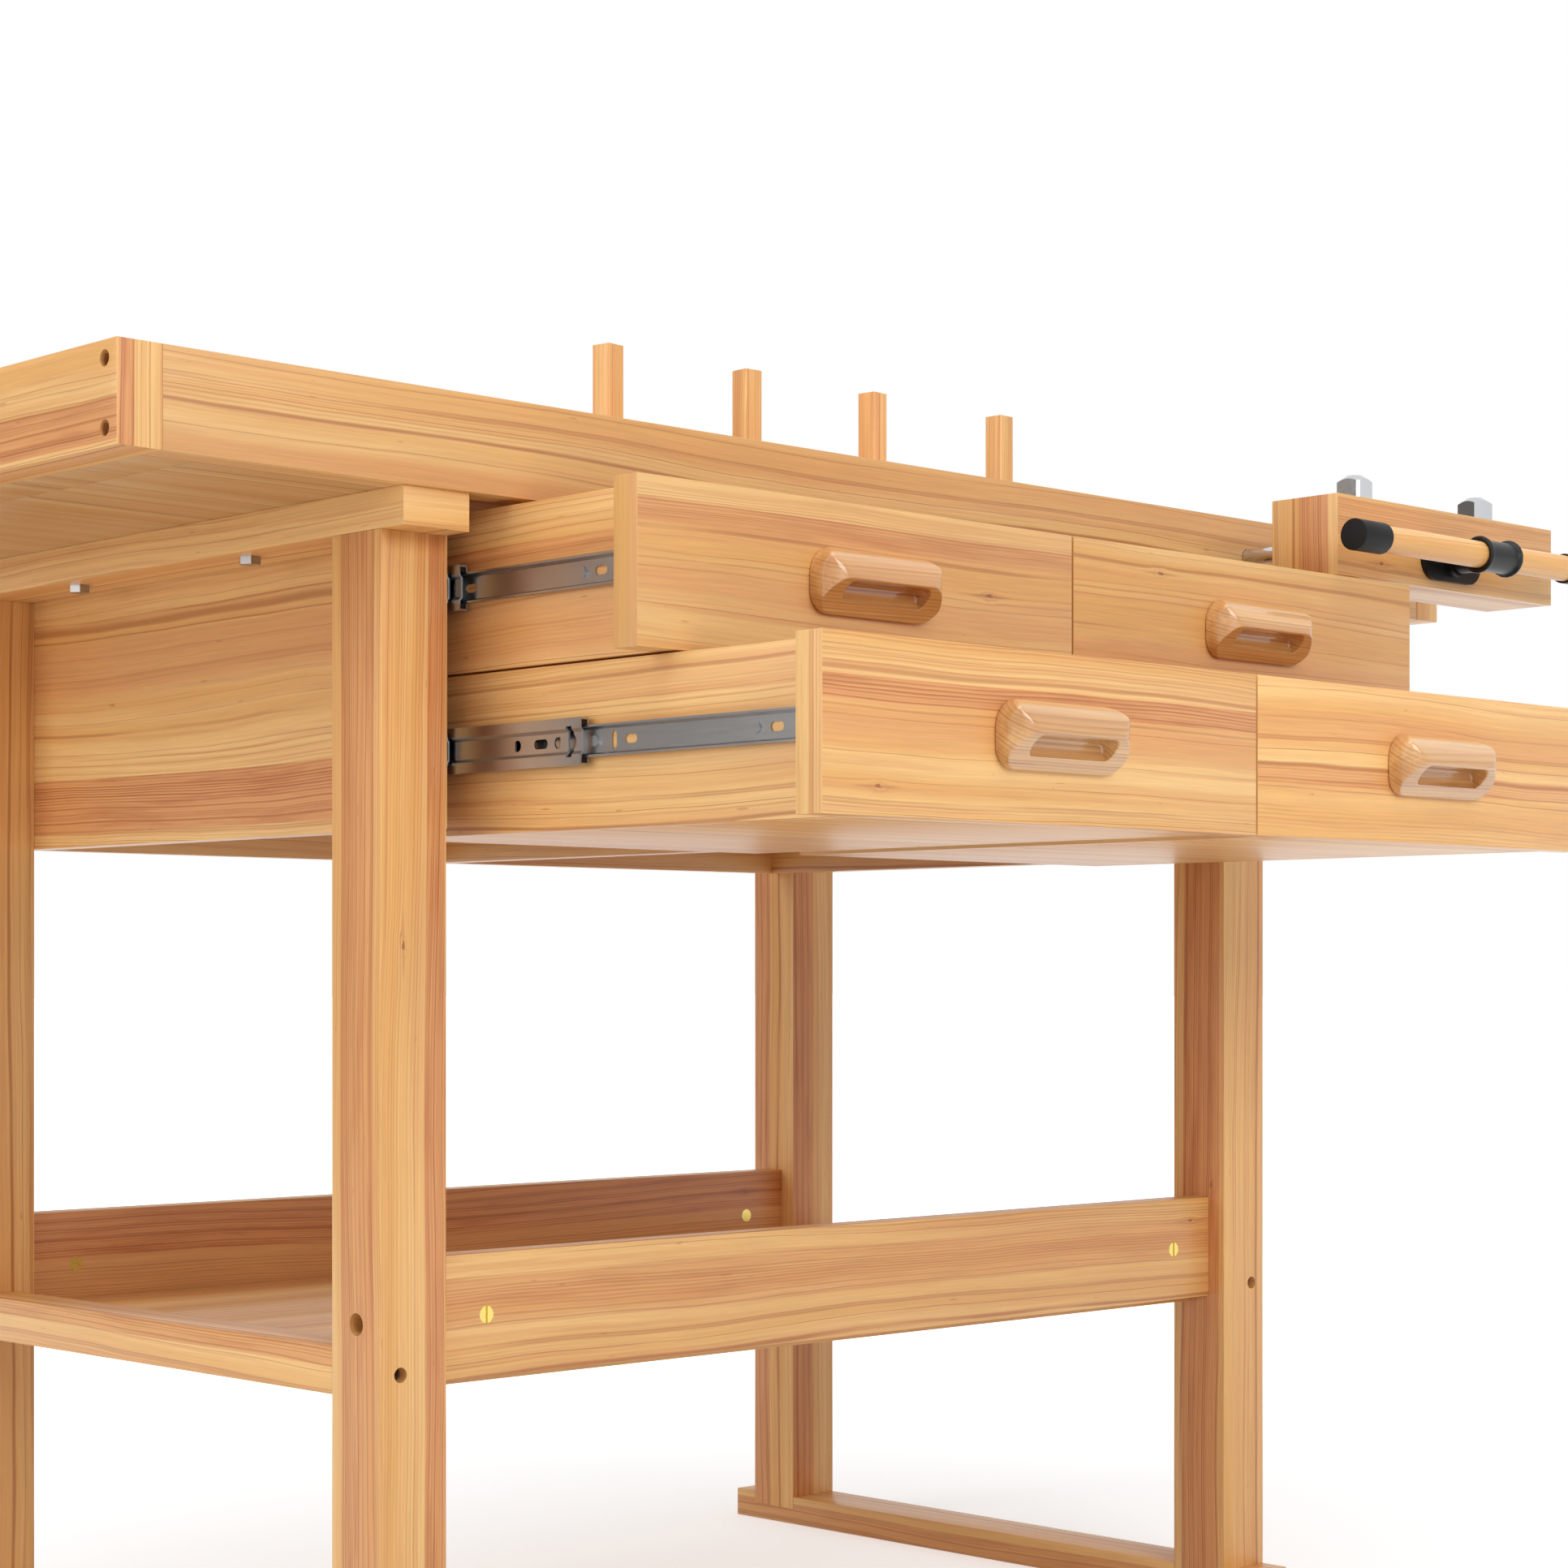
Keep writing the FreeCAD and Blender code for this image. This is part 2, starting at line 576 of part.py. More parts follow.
def middle_member(side, z, front):
    """The middle channel with its stamped windows, and plastic stops in the corners of its front end."""
    half = d.middle_height / 2 - d.steel
    back = d.middle_back + d.steel
    lip = d.middle_back + d.middle_depth - d.steel
    line = [(lip, half + d.steel - d.middle_lip), (lip, half), (back, half),
            (back, d.band_half + d.middle_step), (back + d.middle_step, d.band_half)]
    channel = side.rolled(line, front, z, d.middle_length)
    windows = [
        side.key_slot(front + d.key_slot, z),
        side.eye(front + d.first_eye, z, 1),
        side.oblong(front + d.oblong, z, d.oblong_length, d.oblong_height),
        side.eye(front + d.last_eye, z, -1),
    ]
    stops = [side.piece((back, lip), (front, front + d.stop_length), levels)
             for levels in level_pair(z, half + d.steel - d.middle_lip, half)]
    return [cut(channel, windows)] + stops


def inner_member(side, z, start):
    """The channel on the drawer's side, with its windows and its pan-head screws."""
    half = d.inner_height / 2
    web = d.slide_width - d.steel
    line = [(d.slide_width - d.inner_depth, half - d.steel), (web - d.inner_ridge, half - d.steel),
            (web, half - d.steel - d.inner_ridge)]
    channel = side.rolled(line, start, z, d.slide_length)
    windows = [side.oblong(start + offset, z, d.slot_length, d.slot_height)
               for offset in (d.first_slot, d.middle_slot, d.last_slot)]
    windows.append(side.oblong(start + d.upright_slot, z, d.upright_length, d.slot_length))
    head_x = side.x_range(web - d.screw_head_height, web)
    screws = [round_bar("x", (head_x[0], start + offset, z), d.screw_head_height, d.screw_head_radius)
              for offset in (d.first_screw, d.middle_screw, d.last_screw)]
    return [cut(channel, windows)] + screws


def pull_shape():
    """A wooden pull about its middle: bullnosed above a lip, slanting back below it, with domed ends."""
    depth, blend = d.pull_depth.value, d.pull_blend.value
    half_length, half_height = d.pull_length.value / 2, d.pull_height.value / 2
    lip = d.pull_lip.value
    rise = half_height - lip
    crown_radius = (depth ** 2 + rise ** 2) / (2 * rise)
    centre = Vector(0, 0, half_height - crown_radius)
    back_top, lip_top = Vector(0, 0, half_height), Vector(0, -depth, lip)
    lip_bottom, heel = Vector(0, -depth, 0), Vector(0, -d.pull_heel.value, -half_height)
    crown = centre + (back_top + lip_top - centre * 2).normalize() * crown_radius
    corners = [lip_top, lip_bottom, heel, Vector(0, 0, -half_height), back_top]
    edges = [Part.LineSegment(low, high).toShape() for low, high in zip(corners, corners[1:])]
    edges.append(Part.Arc(back_top, crown, lip_top).toShape())
    profile = Part.Face(Part.Wire(edges))
    profile.translate(Vector(-half_length, 0, 0))
    body = profile.extrude(Vector(2 * half_length, 0, 0))

    corner = Vector(-half_length, -depth, -half_height)
    block = Part.makeBox(2 * half_length, 2 * depth, 2 * half_height, corner)
    uprights = [edge for edge in block.Edges
                if edge.BoundBox.ZLength > half_height and edge.CenterOfMass.y < 0]
    plan = block.makeFillet(d.pull_plan_corner.value, uprights)
    tops = [edge for edge in block.Edges if edge.BoundBox.YLength > depth and edge.CenterOfMass.z > 0]
    front = block.makeFillet(d.pull_top_corner.value, tops)
    bottoms = [edge for edge in front.Edges if edge.BoundBox.YLength > depth
               and abs(edge.CenterOfMass.x) > half_length - lip and edge.CenterOfMass.z < -lip]
    front = front.makeFillet(d.pull_bottom_corner.value, bottoms)
    body = body.common(plan).common(front)
    over = [edge for edge in body.Edges if edge.BoundBox.ZMax > lip * 2
            and edge.BoundBox.YMin < -lip and edge.BoundBox.YLength > lip / 2]
    body = body.makeFillet(blend, over)
    under = [edge for edge in body.Edges if edge.BoundBox.ZMax < lip * 1.25 and edge.BoundBox.YMin < -lip]
    body = body.makeFillet(d.pull_edge.value, under)

    slant = (heel - lip_bottom).normalize()
    inward = Vector(0, -slant.z, slant.y)
    slot_radius = d.pull_slot_width.value / 2
    reach = Vector(d.pull_slot.value / 2 - slot_radius, 0, 0)
    start = lip_bottom + slant * d.pull_slot_drop.value - inward * depth
    sink = inward * (depth + d.pull_recess.value)
    side = slant * slot_radius
    tool = Part.makeCylinder(slot_radius, sink.Length, start - reach, inward)
    tool = tool.fuse(Part.makeCylinder(slot_radius, sink.Length, start + reach, inward))
    rim = [start - reach - side, start + reach - side, start + reach + side, start - reach + side]
    tool = tool.fuse(Part.Face(Part.makePolygon(rim + rim[:1])).extrude(sink)).removeSplitter()
    floor = start + sink
    bed = [edge for edge in tool.Edges if abs((edge.CenterOfMass - floor).dot(inward)) < lip / 10]
    pocket = tool.makeFillet(d.pull_slot_floor.value, bed)
    body = body.cut(pocket)
    rim = [edge for edge in body.Edges
           if max(abs((vertex.Point - lip_bottom).dot(inward)) for vertex in edge.Vertexes) < lip / 10
           and (edge.CenterOfMass - lip_bottom).dot(slant) > d.pull_slot_drop.value
           and edge.Length < d.pull_slot.value * 0.9]
    return body.makeFillet(d.pull_edge.value, rim).Solids[0]


DRAWERS = (
    ("upper_left", 0, upper_front_bottom, d.upper_opening, d.upper_middle_front),
    ("upper_right", 1, upper_front_bottom, d.upper_opening, d.upper_middle_front),
    ("lower_left", 0, lower_front_bottom, d.lower_opening, d.lower_middle_front),
    ("lower_right", 1, lower_front_bottom, d.lower_opening, d.lower_middle_front),
)
BAYS = ((panel_left, divider_left), (divider_right, panel_right))


def make_drawers():
    outer_members = []
    pull = pull_shape()
    half_gap = d.front_gap / 2
    front_x = ((d.leg_width + d.side_gap, frame_right / 2 - half_gap),
               (frame_right / 2 + half_gap, frame_right - d.leg_width - d.side_gap))
    for name, bay, bottom, opening, middle_front in DRAWERS:
        top = bottom + d.front_height
        front_face = -opening
        back_of_front = front_face + d.front_thickness
        node(f"{name}_drawer_front", board(front_x[bay], (front_face, back_of_front), (bottom, top)))

        bay_left, bay_right = BAYS[bay]
        x0, x1 = bay_left + d.slide_width, bay_right - d.slide_width
        y0, y1 = back_of_front, back_of_front + d.box_length
        inner_x = (x0 + d.box_wall, x1 - d.box_wall)
        walls = [
            board((x0, inner_x[0]), (y0, y1), (bottom, top)),
            board((inner_x[1], x1), (y0, y1), (bottom, top)),
            board(inner_x, (y1 - d.box_wall, y1), (bottom, top)),
            board(inner_x, (y0, y1 - d.box_wall), (bottom, bottom + d.box_bottom)),
        ]
        node(f"{name}_drawer_box", group(walls))

        middle_x = (front_x[bay][0] + front_x[bay][1]) / 2
        pull_level = bottom + d.front_height / 2 + d.pull_rise
        node(f"{name}_drawer_pull", shaped(pull, middle_x, front_face, pull_level))

        centre = bottom + d.slide_rise
        inner, middle = [], []
        for panel_face, way in ((bay_left, 1), (bay_right, -1)):
            side = SlideSide(panel_face, way)
            inner += inner_member(side, centre, back_of_front + d.sliding_fit)
            middle += middle_member(side, centre, middle_front)
            outer_members += outer_member(side, centre)
        node(f"{name}_drawer_runners", group(inner))
        node(f"{name}_middle_slides", group(middle))
    node("cabinet_runners", group(outer_members))


# ---------------------------------------------------------------- vises

class Facing:
    """Turns vise coordinates into bench ones: out from the face it closes on, across it, and height."""

    def __init__(self, axis, way, face, centre):
        self.axis, self.way, self.face, self.centre = axis, way, face, centre
        self.cross_axis = "xy"[1 - index_of(axis)]

    def point(self, out, across, z):
        spot = [None, None, as_size(z)]
        spot[index_of(self.axis)] = self.face + as_size(out) * self.way
        spot[1 - index_of(self.axis)] = self.centre + across
        return spot

    def block(self, out_range, across_range, z_range):
        low, high = self.point(out_range[0], across_range[0], 0), self.point(out_range[1], across_range[1], 0)
        i = index_of(self.axis)
        if self.way < 0:
            low[i], high[i] = high[i], low[i]
        return board((low[0], high[0]), (low[1], high[1]), z_range)

    def bar(self, out, across, z, length, radius, outward=True):
        return round_bar(self.axis, self.point(out, across, z), length, radius,
                         self.way if outward else -self.way)

    def cross_bar(self, out, across, z, length, radius):
        return round_bar(self.cross_axis, self.point(out, across, z), length, radius)


def make_vise(name, facing, opening, apron_thickness, rod_length, handle_shift):
    """Jaw, guide rods, flange, screw with its hub, and sliding handle of one vise."""
    jaw_out = opening + d.jaw_thickness
    hub_out = jaw_out + d.hub_reach
    half = d.jaw_width / 2
    rod_depth = opening + d.rod_socket

    jaw = facing.block((opening, jaw_out), (-half, half), (beam_top, table_top))
    jaw_tools = [facing.bar(opening, as_size(0), screw_level, d.jaw_thickness,
                            d.screw_radius + d.free_play)]
    for side in WAYS:
        across = d.vise_spread * side
        jaw_tools.append(facing.bar(opening, across, rod_level, d.rod_socket, d.rod_radius))
        hole = facing.point(opening + d.jaw_thickness / 2, across, table_top - d.steel_shank)
        jaw_tools.append(round_bar("z", hole, d.steel_shank, d.dog_hole_radius))
    node(f"{name}_jaw", cut(jaw, jaw_tools))
    rods = [facing.bar(rod_depth, d.vise_spread * side, rod_level, rod_length, d.rod_radius,
                       outward=False) for side in WAYS]
    node(f"{name}_guide_rods", group(rods))

    flange_half = d.flange_height / 2
    straight = d.flange_length / 2 - flange_half
    plate_parts = [facing.block((jaw_out, jaw_out + d.flange_thickness), (-straight, straight),
                                (screw_level - flange_half, screw_level + flange_half)),
                   facing.bar(jaw_out, as_size(0), screw_level, d.flange_thickness + d.collar_length,
                              d.collar_radius)]
    plate_parts += [facing.bar(jaw_out, straight * side, screw_level, d.flange_thickness, flange_half)
                    for side in WAYS]
    neck_hole = facing.bar(jaw_out, as_size(0), screw_level, d.flange_thickness + d.collar_length,
                           d.neck_radius + d.free_play)
    flange = cut(fuse(plate_parts), [neck_hole])
    screw_heads = [facing.bar(jaw_out + d.flange_thickness, d.flange_screw * side, screw_level,
                              d.steel * 2, d.nut_radius * 0.75) for side in WAYS]

    hub_half = d.hub_length / 2
    hub_parts = [
        facing.bar(hub_out, as_size(0), screw_level, d.hub_reach, d.neck_radius, outward=False),
        facing.bar(jaw_out, as_size(0), screw_level, jaw_out + rod_length - rod_depth,
                   d.screw_radius, outward=False),
        facing.cross_bar(hub_out, -hub_half, screw_level, d.hub_length, d.hub_radius),
        facing.cross_bar(hub_out, -hub_half, screw_level, d.rim_width, d.hub_rim),
        facing.cross_bar(hub_out, hub_half - d.rim_width, screw_level, d.rim_width, d.hub_rim),
    ]
    eye = facing.cross_bar(hub_out, -hub_half, screw_level, d.hub_length,
                           d.handle_radius + d.free_play)
    node(f"{name}_screw", cut(fuse(hub_parts), [eye]))

    handle_half = d.handle_length / 2
    inset = d.cap_wall
    handle_start = handle_shift - handle_half
    wood = facing.cross_bar(hub_out, handle_start + inset, screw_level, d.handle_length - inset * 2,
                            d.handle_radius)
    node(f"{name}_handle", wood)
    caps = []
    for end, hollow in ((handle_start, handle_start + inset),
                        (handle_shift + handle_half - d.cap_length, handle_shift + handle_half - d.cap_length)):
        cap = facing.cross_bar(hub_out, end, screw_level, d.cap_length, d.cap_radius)
        bore = facing.cross_bar(hub_out, hollow, screw_level, d.cap_length - inset, d.handle_radius)
        caps.append(cut(cap, [bore]))
    node(f"{name}_handle_caps", group(caps))

    inner = -apron_thickness
    carrier_half = d.vise_spread + d.rod_radius + d.carrier_margin
    carrier = facing.block((inner - d.carrier_thickness, inner), (-carrier_half, carrier_half),
                           (lining_top, slab_bottom))
    boss = facing.bar(inner, as_size(0), screw_level, d.carrier_thickness + d.boss_length,
                      d.boss_radius, outward=False)
    carrier_tools = [facing.bar(inner, d.vise_spread * side, rod_level, d.carrier_thickness,
                                d.rod_radius + d.sliding_fit, outward=False) for side in WAYS]
    carrier_tools.append(facing.bar(inner, as_size(0), screw_level, d.carrier_thickness + d.boss_length,
                                    d.screw_radius + d.sliding_fit, outward=False))
    return flange, screw_heads, cut(fuse([carrier, boss]), carrier_tools)


def make_vises():
    front = Facing("y", -1, table_front, front_vise_centre)
    flange, screw_heads, front_carrier = make_vise("front_vise", front, d.vise_opening, d.apron_thickness,
                                                   d.rod_length, d.handle_shift)
    node("front_vise_flange", flange)
    node("front_vise_flange_screws", group(screw_heads))
    end = Facing("x", 1, table_right, end_vise_centre)
    rod_end = frame_right + d.bearer_clearance
    end_rod_length = table_right + d.end_vise_opening + d.rod_socket - rod_end
    flange, screw_heads, end_carrier = make_vise("end_vise", end, d.end_vise_opening, d.cap_thickness,
                                                 end_rod_length, as_size(0))
    node("end_vise_flange", group([flange] + screw_heads))
    node("vise_nut_plates", group([front_carrier, end_carrier]))


# ---------------------------------------------------------------- bench dogs

def eased_post(width, height, easing, turn):
    """A square post standing on the origin, its upright edges planed off, turned about its axis."""
    corner = width / 2
    post = Part.makeBox(width, width, height, Vector(-corner, -corner, 0))
    uprights = [edge for edge in post.Edges if abs(edge.tangentAt(edge.FirstParameter).z) > 0.9]
    post = post.makeChamfer(easing, uprights)
    post.rotate(Vector(), Vector(0, 0, 1), turn)
    return post


def dog(name, x, y, base, width, height, shank, turn, cone):
    """A bench dog: a square head that rests on the top, over a round shank that drops into the hole."""
    head = eased_post(width.value, height.value, width.value / 12, turn)
    if cone:
        outer = width.value * 0.75
        drop = width.value * 0.3
        blunt = Part.makeCone(outer, outer - drop * 1.5, drop, Vector(0, 0, height.value - drop))
        head = head.common(Part.makeCylinder(outer, height.value - drop).fuse(blunt))
    radius = d.dog_hole_radius.value - d.free_play.value
    peg = Part.makeCylinder(radius, shank.value, Vector(0, 0, -shank.value))
    node(name, shaped(head.fuse(peg).removeSplitter(), x, y, base))


def make_dogs():
    spots = (dog_1, dog_2, dog_3, dog_4)
    for number, (x, turn) in enumerate(zip(spots, WOOD_DOG_TURNS), start=1):
        dog(f"wooden_dog_{number}", x, d.front_dog_row, table_top, d.wood_dog_width, d.wood_dog_height,
            d.wood_shank, turn, cone=False)
    y = table_front - d.vise_opening - d.jaw_thickness / 2
    shank = d.steel_shank - d.free_play
    for number, (side, turn) in enumerate(zip((-1, 1), STEEL_DOG_TURNS), start=1):
        dog(f"steel_dog_{number}", front_vise_centre + d.vise_spread * side, y, table_top,
            d.steel_dog_width, d.steel_dog_height, shank, turn, cone=True)


make_top()
make_top_supports()
make_frame()
make_shelf()
make_cabinet()
make_drawers()
make_vises()
make_dogs()
node("socket_bolts", group(socket_bolts))
node("barrel_nuts", group(barrel_nuts))
doc.recompute()

for item in doc.Objects:
    if "Invalid" in item.State or "Error" in item.State:
        raise RuntimeError(f"{item.Label} did not compute: {item.State}")
os.makedirs("parts", exist_ok=True)
for item in nodes:
    if item.Shape.isNull() or not item.Shape.isValid():
        raise RuntimeError(f"{item.Label} has no valid shape")
for item in nodes:
    item.Shape.exportStep(os.path.join("parts", f"{item.Label}.step"))

whole = Part.makeCompound([item.Shape for item in nodes])
box = whole.BoundBox
print(f"{len(nodes)} nodes, {len(whole.Solids)} solids")
print(f"box X {box.XMin:.2f} {box.XMax:.2f}  Y {box.YMin:.2f} {box.YMax:.2f}  Z {box.ZMin:.2f} {box.ZMax:.2f}")
print(f"bench origin {origin_x.value:.3f} {origin_y.value:.3f}")
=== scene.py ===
"""The looks of the woodworking bench: pine boards, slides, vises, pulls and bench dogs."""

import json
import math
import random
from collections import namedtuple

import bmesh
import bpy
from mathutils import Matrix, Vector


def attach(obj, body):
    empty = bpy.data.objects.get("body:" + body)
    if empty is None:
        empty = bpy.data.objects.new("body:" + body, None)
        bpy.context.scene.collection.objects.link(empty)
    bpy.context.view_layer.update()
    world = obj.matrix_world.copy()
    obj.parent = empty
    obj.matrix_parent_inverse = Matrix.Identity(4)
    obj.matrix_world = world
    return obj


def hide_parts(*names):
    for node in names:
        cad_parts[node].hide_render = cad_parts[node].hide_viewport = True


X, Y, Z = range(3)
MM = 0.001

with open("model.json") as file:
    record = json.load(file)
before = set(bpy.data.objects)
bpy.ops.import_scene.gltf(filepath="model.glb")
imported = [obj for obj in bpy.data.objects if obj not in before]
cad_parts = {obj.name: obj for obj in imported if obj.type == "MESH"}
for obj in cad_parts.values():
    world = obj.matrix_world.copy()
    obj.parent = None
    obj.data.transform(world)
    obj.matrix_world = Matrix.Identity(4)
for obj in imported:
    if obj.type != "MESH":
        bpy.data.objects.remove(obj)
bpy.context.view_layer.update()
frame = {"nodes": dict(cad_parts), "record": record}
bodies = {node: body
          for body, nodes in frame["record"]["behaviour"]["bodies"].items()
          for node in nodes}


# ---------------------------------------------------------------- shader helpers

def tint(red, green, blue):
    """A display colour, 0 to 255 a channel, as the linear colour that shaders take."""
    def linear(value):
        value /= 255
        return value / 12.92 if value <= 0.04045 else ((value + 0.055) / 1.055) ** 2.4
    return (linear(red), linear(green), linear(blue), 1.0)


class Shader:
    """Writes the nodes of one material, one short call a node."""

    def __init__(self, name):
        self.material = bpy.data.materials.new(name)
        self.material.use_nodes = True
        self.tree = self.material.node_tree
        self.surface = self.tree.nodes["Principled BSDF"]

    def node(self, kind, inputs=(), **settings):
        made = self.tree.nodes.new(kind)
        for name, value in settings.items():
            setattr(made, name, value)
        for slot, value in dict(inputs).items():
            self.feed(made.inputs[slot], value)
        return made

    def feed(self, socket, value):
        if isinstance(value, bpy.types.NodeSocket):
            self.tree.links.new(value, socket)
        else:
            socket.default_value = value

    def set(self, **inputs):
        for name, value in inputs.items():
            self.feed(self.surface.inputs[name.replace("_", " ")], value)

    def math(self, operation, *values):
        return self.node("ShaderNodeMath", enumerate(values), operation=operation).outputs[0]

    def add(self, a, b):
        return self.math("ADD", a, b)

    def times(self, a, b):
        return self.math("MULTIPLY", a, b)

    def length(self, a, b):
        """The length of a line with these two sides."""
        return self.math("SQRT", self.add(self.math("POWER", a, 2.0), self.math("POWER", b, 2.0)))

    def swing(self, value, reach):
        """Turns noise of 0 to 1 into a swing about 0, of this reach from end to end."""
        return self.times(self.add(value, -0.5), reach)

    def smooth(self, value, low, high):
        """0 up to low and 1 from high on, or down from high where it is less than low."""
        made = self.node("ShaderNodeMapRange", {0: value, 1: low, 2: high},
                         interpolation_type="SMOOTHSTEP")
        return made.outputs[0]

    def shown(self, value, part):
        """How much of a noise shows: a soft step between two levels, times a strength."""
        return self.times(self.smooth(value, part.low, part.high), part.strength)

    def split(self, vector):
        made = self.node("ShaderNodeSeparateXYZ", {0: vector})
        return made.outputs[0], made.outputs[1], made.outputs[2]

    def join(self, x, y, z):
        return self.node("ShaderNodeCombineXYZ", {0: x, 1: y, 2: z}).outputs[0]

    def attribute(self, name):
        return self.node("ShaderNodeAttribute", attribute_name=name).outputs["Vector"]

    def spread(self, value, low, high):
        """Maps 0 to 1 onto low to high."""
        return self.node("ShaderNodeMapRange", {0: value, 3: low, 4: high}).outputs[0]

    def stretch(self, vector, x, y, z):
        made = self.node("ShaderNodeVectorMath", {0: vector, 1: (x, y, z)}, operation="MULTIPLY")
        return made.outputs[0]

    def noise(self, vector, scale=1.0, detail=2.0, roughness=0.5):
        """A noise node: its output 0 is one value, its Color three."""
        return self.node("ShaderNodeTexNoise", {"Vector": vector, "Scale": scale,
                                                "Detail": detail, "Roughness": roughness})

    def along_grain(self, vector, waves):
        """Noise drawn out along the grain."""
        return self.noise(self.stretch(vector, waves.along, waves.across, waves.across),
                          detail=waves.detail, roughness=waves.roughness)

    def noise_of(self, value, scale, detail=1.0):
        """Noise along one number."""
        made = self.node("ShaderNodeTexNoise", {"W": value, "Scale": scale, "Detail": detail},
                         noise_dimensions="1D")
        return made.outputs[0]

    def mix(self, factor, a, b, blend="MIX"):
        made = self.node("ShaderNodeMix", {0: factor, 6: a, 7: b}, data_type="RGBA",
                         blend_type=blend)
        return made.outputs[2]

    def bump(self, height, depth):
        made = self.node("ShaderNodeBump", {"Height": height, "Distance": depth})
        self.set(Normal=made.outputs[0])


# ---------------------------------------------------------------- wood

Wood = namedtuple("Wood", "pale honey pink red deep line")

# Noise in the wood: its waves a metre along the grain and across it, detail and roughness.
Waves = namedtuple("Waves", "along across detail roughness")
WANDERING = Waves(2.0, 7.0, 1.0, 0.5)      # the slow drift of the grain
WAVING = Waves(11.0, 60.0, 1.0, 0.5)       # small waves on it
FIBRES = Waves(16.0, 760.0, 3.0, 0.65)     # the finest lines
STREAKS = Waves(2.6, 260.0, 3.0, 0.5)      # long thin pink streaks
AREAS = Waves(0.9, 38.0, 2.5, 0.5)         # where it is pale, lined or pink
BLOTCHES = Waves(9.0, 120.0, 3.0, 0.6)     # the darker patches of red wood
FADING = Waves(5.0, 90.0, 1.0, 0.5)        # where single lines fade
SPECKS = Waves(60.0, 420.0, 0.0, 0.5)      # specks of resin
RIM = Waves(140.0, 380.0, 2.0, 0.5)        # the uneven rim of a knot
DRIFT_WAVES, DRIFT = 60.0, 2.5             # years wide and narrow, by up to so many years

# How far the grain goes from its straight course, from end to end of the swing.
WANDER, WAVE, DEPTH_WANDER = 26 * MM, 2.6 * MM, 20 * MM

# Where a noise starts to show, where it shows in full, and how strongly.
Part = namedtuple("Part", "low high strength")
BLUSH = Part(0.54, 0.66, 0.45)
STREAK = Part(0.42, 0.70, 0.55)
BLOTCH = Part(0.44, 0.74, 0.8)
SPECK = Part(0.84, 0.88, 0.5)
PALE_FROM, PALE_TO = 0.36, 0.62
KEPT_FROM, KEPT_TO = 0.25, 0.48            # where single lines don't fade
GROUP_EDGE = 0.13                          # from no lines to a full group of them

# The dark lines of the years: their spacing, where in the year a line sets in, how unlike
# they are, and how dark.
Years = namedtuple("Years", "spacing rise unlike strength")
GROUPED = Years(2.4 * MM, 0.25, 0.7, 0.52)
SINGLE = Years(21 * MM, 0.86, 0.9, 0.78)
DENSE = Years(2.1 * MM, 0.20, 0.8, 0.95)   # in the red bands
YEAR_DARKEST, YEAR_FALL = 0.95, 0.96

PINK_EDGE, PINK_STRENGTH = 5 * MM, 0.75
RED_EDGE, RED_STRENGTH = 0.5 * MM, 0.86
RED_FOLLOWS = 0.35                         # how much of the grain's wandering a red band does
FIBRE_SHADE = (0.80, 1.17)
# The range of the board's tone as a shade factor; the painted shade of some pieces comes in
# through it.
TONE_AND_PAINTED_SHADE = (0.72, 1.04)
ROUGHNESS_LESS, ROUGHNESS_MORE = 0.05, 0.08
FIBRE_HEIGHT, LINE_HEIGHT = 0.6, 0.5

KNOT = 2.0 * MM                            # radius of a small knot across the grain
KNOT_STRETCH = 2.8                         # and how much longer it is along the grain
KNOT_UNEVEN = 1.8                          # swing of its rim, in radii
KNOT_COLOUR, KNOT_STRENGTH = tint(140, 68, 34), 0.80
HEART = (0.75, 0.35)                       # from the edge of the dark heart inwards, in radii
RING, RING_PART = 1.30, Part(0.30, 0.06, 0.22)
TAIL_WIDTH = (1.3 * MM, 0.3 * MM)
TAIL_LENGTH = Part(26 * MM, 6 * MM, 0.45)
PARTING, PARTING_FALL = 0.75, 0.22         # how the grain gives way to a knot


def late_wood(shader, radius, shift, kind):
    """The dark line that ends each year: a slow rise and a quick fall, some years stronger."""
    years = shader.add(shader.times(radius, 1 / kind.spacing), shift)
    part = shader.math("FRACT", years)
    line = shader.times(shader.smooth(part, kind.rise, YEAR_DARKEST),
                        shader.smooth(part, 1.0, YEAR_FALL))
    which = shader.node("ShaderNodeTexWhiteNoise", {"W": shader.math("FLOOR", years)},
                        noise_dimensions="1D").outputs[0]
    return shader.times(line, shader.math("POWER", which, kind.unlike))


def band_mask(shader, name, shift, softness):
    """1 inside a face's band, 0 outside. The mesh says how far the band's middle is."""
    place, half, strength = shader.split(shader.attribute(name))
    inside = shader.math("SUBTRACT", half, shader.math("ABSOLUTE", shader.add(place, shift)))
    return shader.times(shader.smooth(inside, -softness, softness), strength)


def knot_reach(s, grain, along, across):
    """The distance from a knot's middle, in radii of the knot."""
    reach = s.length(s.times(along, 1 / KNOT_STRETCH), across)
    rim = s.along_grain(grain, RIM).outputs[0]
    return s.add(s.times(reach, 1 / KNOT), s.swing(rim, KNOT_UNEVEN))


def knot_mark(s, reach, along, across):
    """How dark a knot is: its heart, the bark ring around it, and its tail along the grain."""
    heart = s.smooth(reach, *HEART)
    ring = s.shown(s.math("ABSOLUTE", s.add(reach, -RING)), RING_PART)
    tail = s.times(s.smooth(s.math("ABSOLUTE", across), *TAIL_WIDTH),
                   s.shown(s.math("ABSOLUTE", along), TAIL_LENGTH))
    return s.math("MAXIMUM", s.math("MAXIMUM", heart, ring), tail)


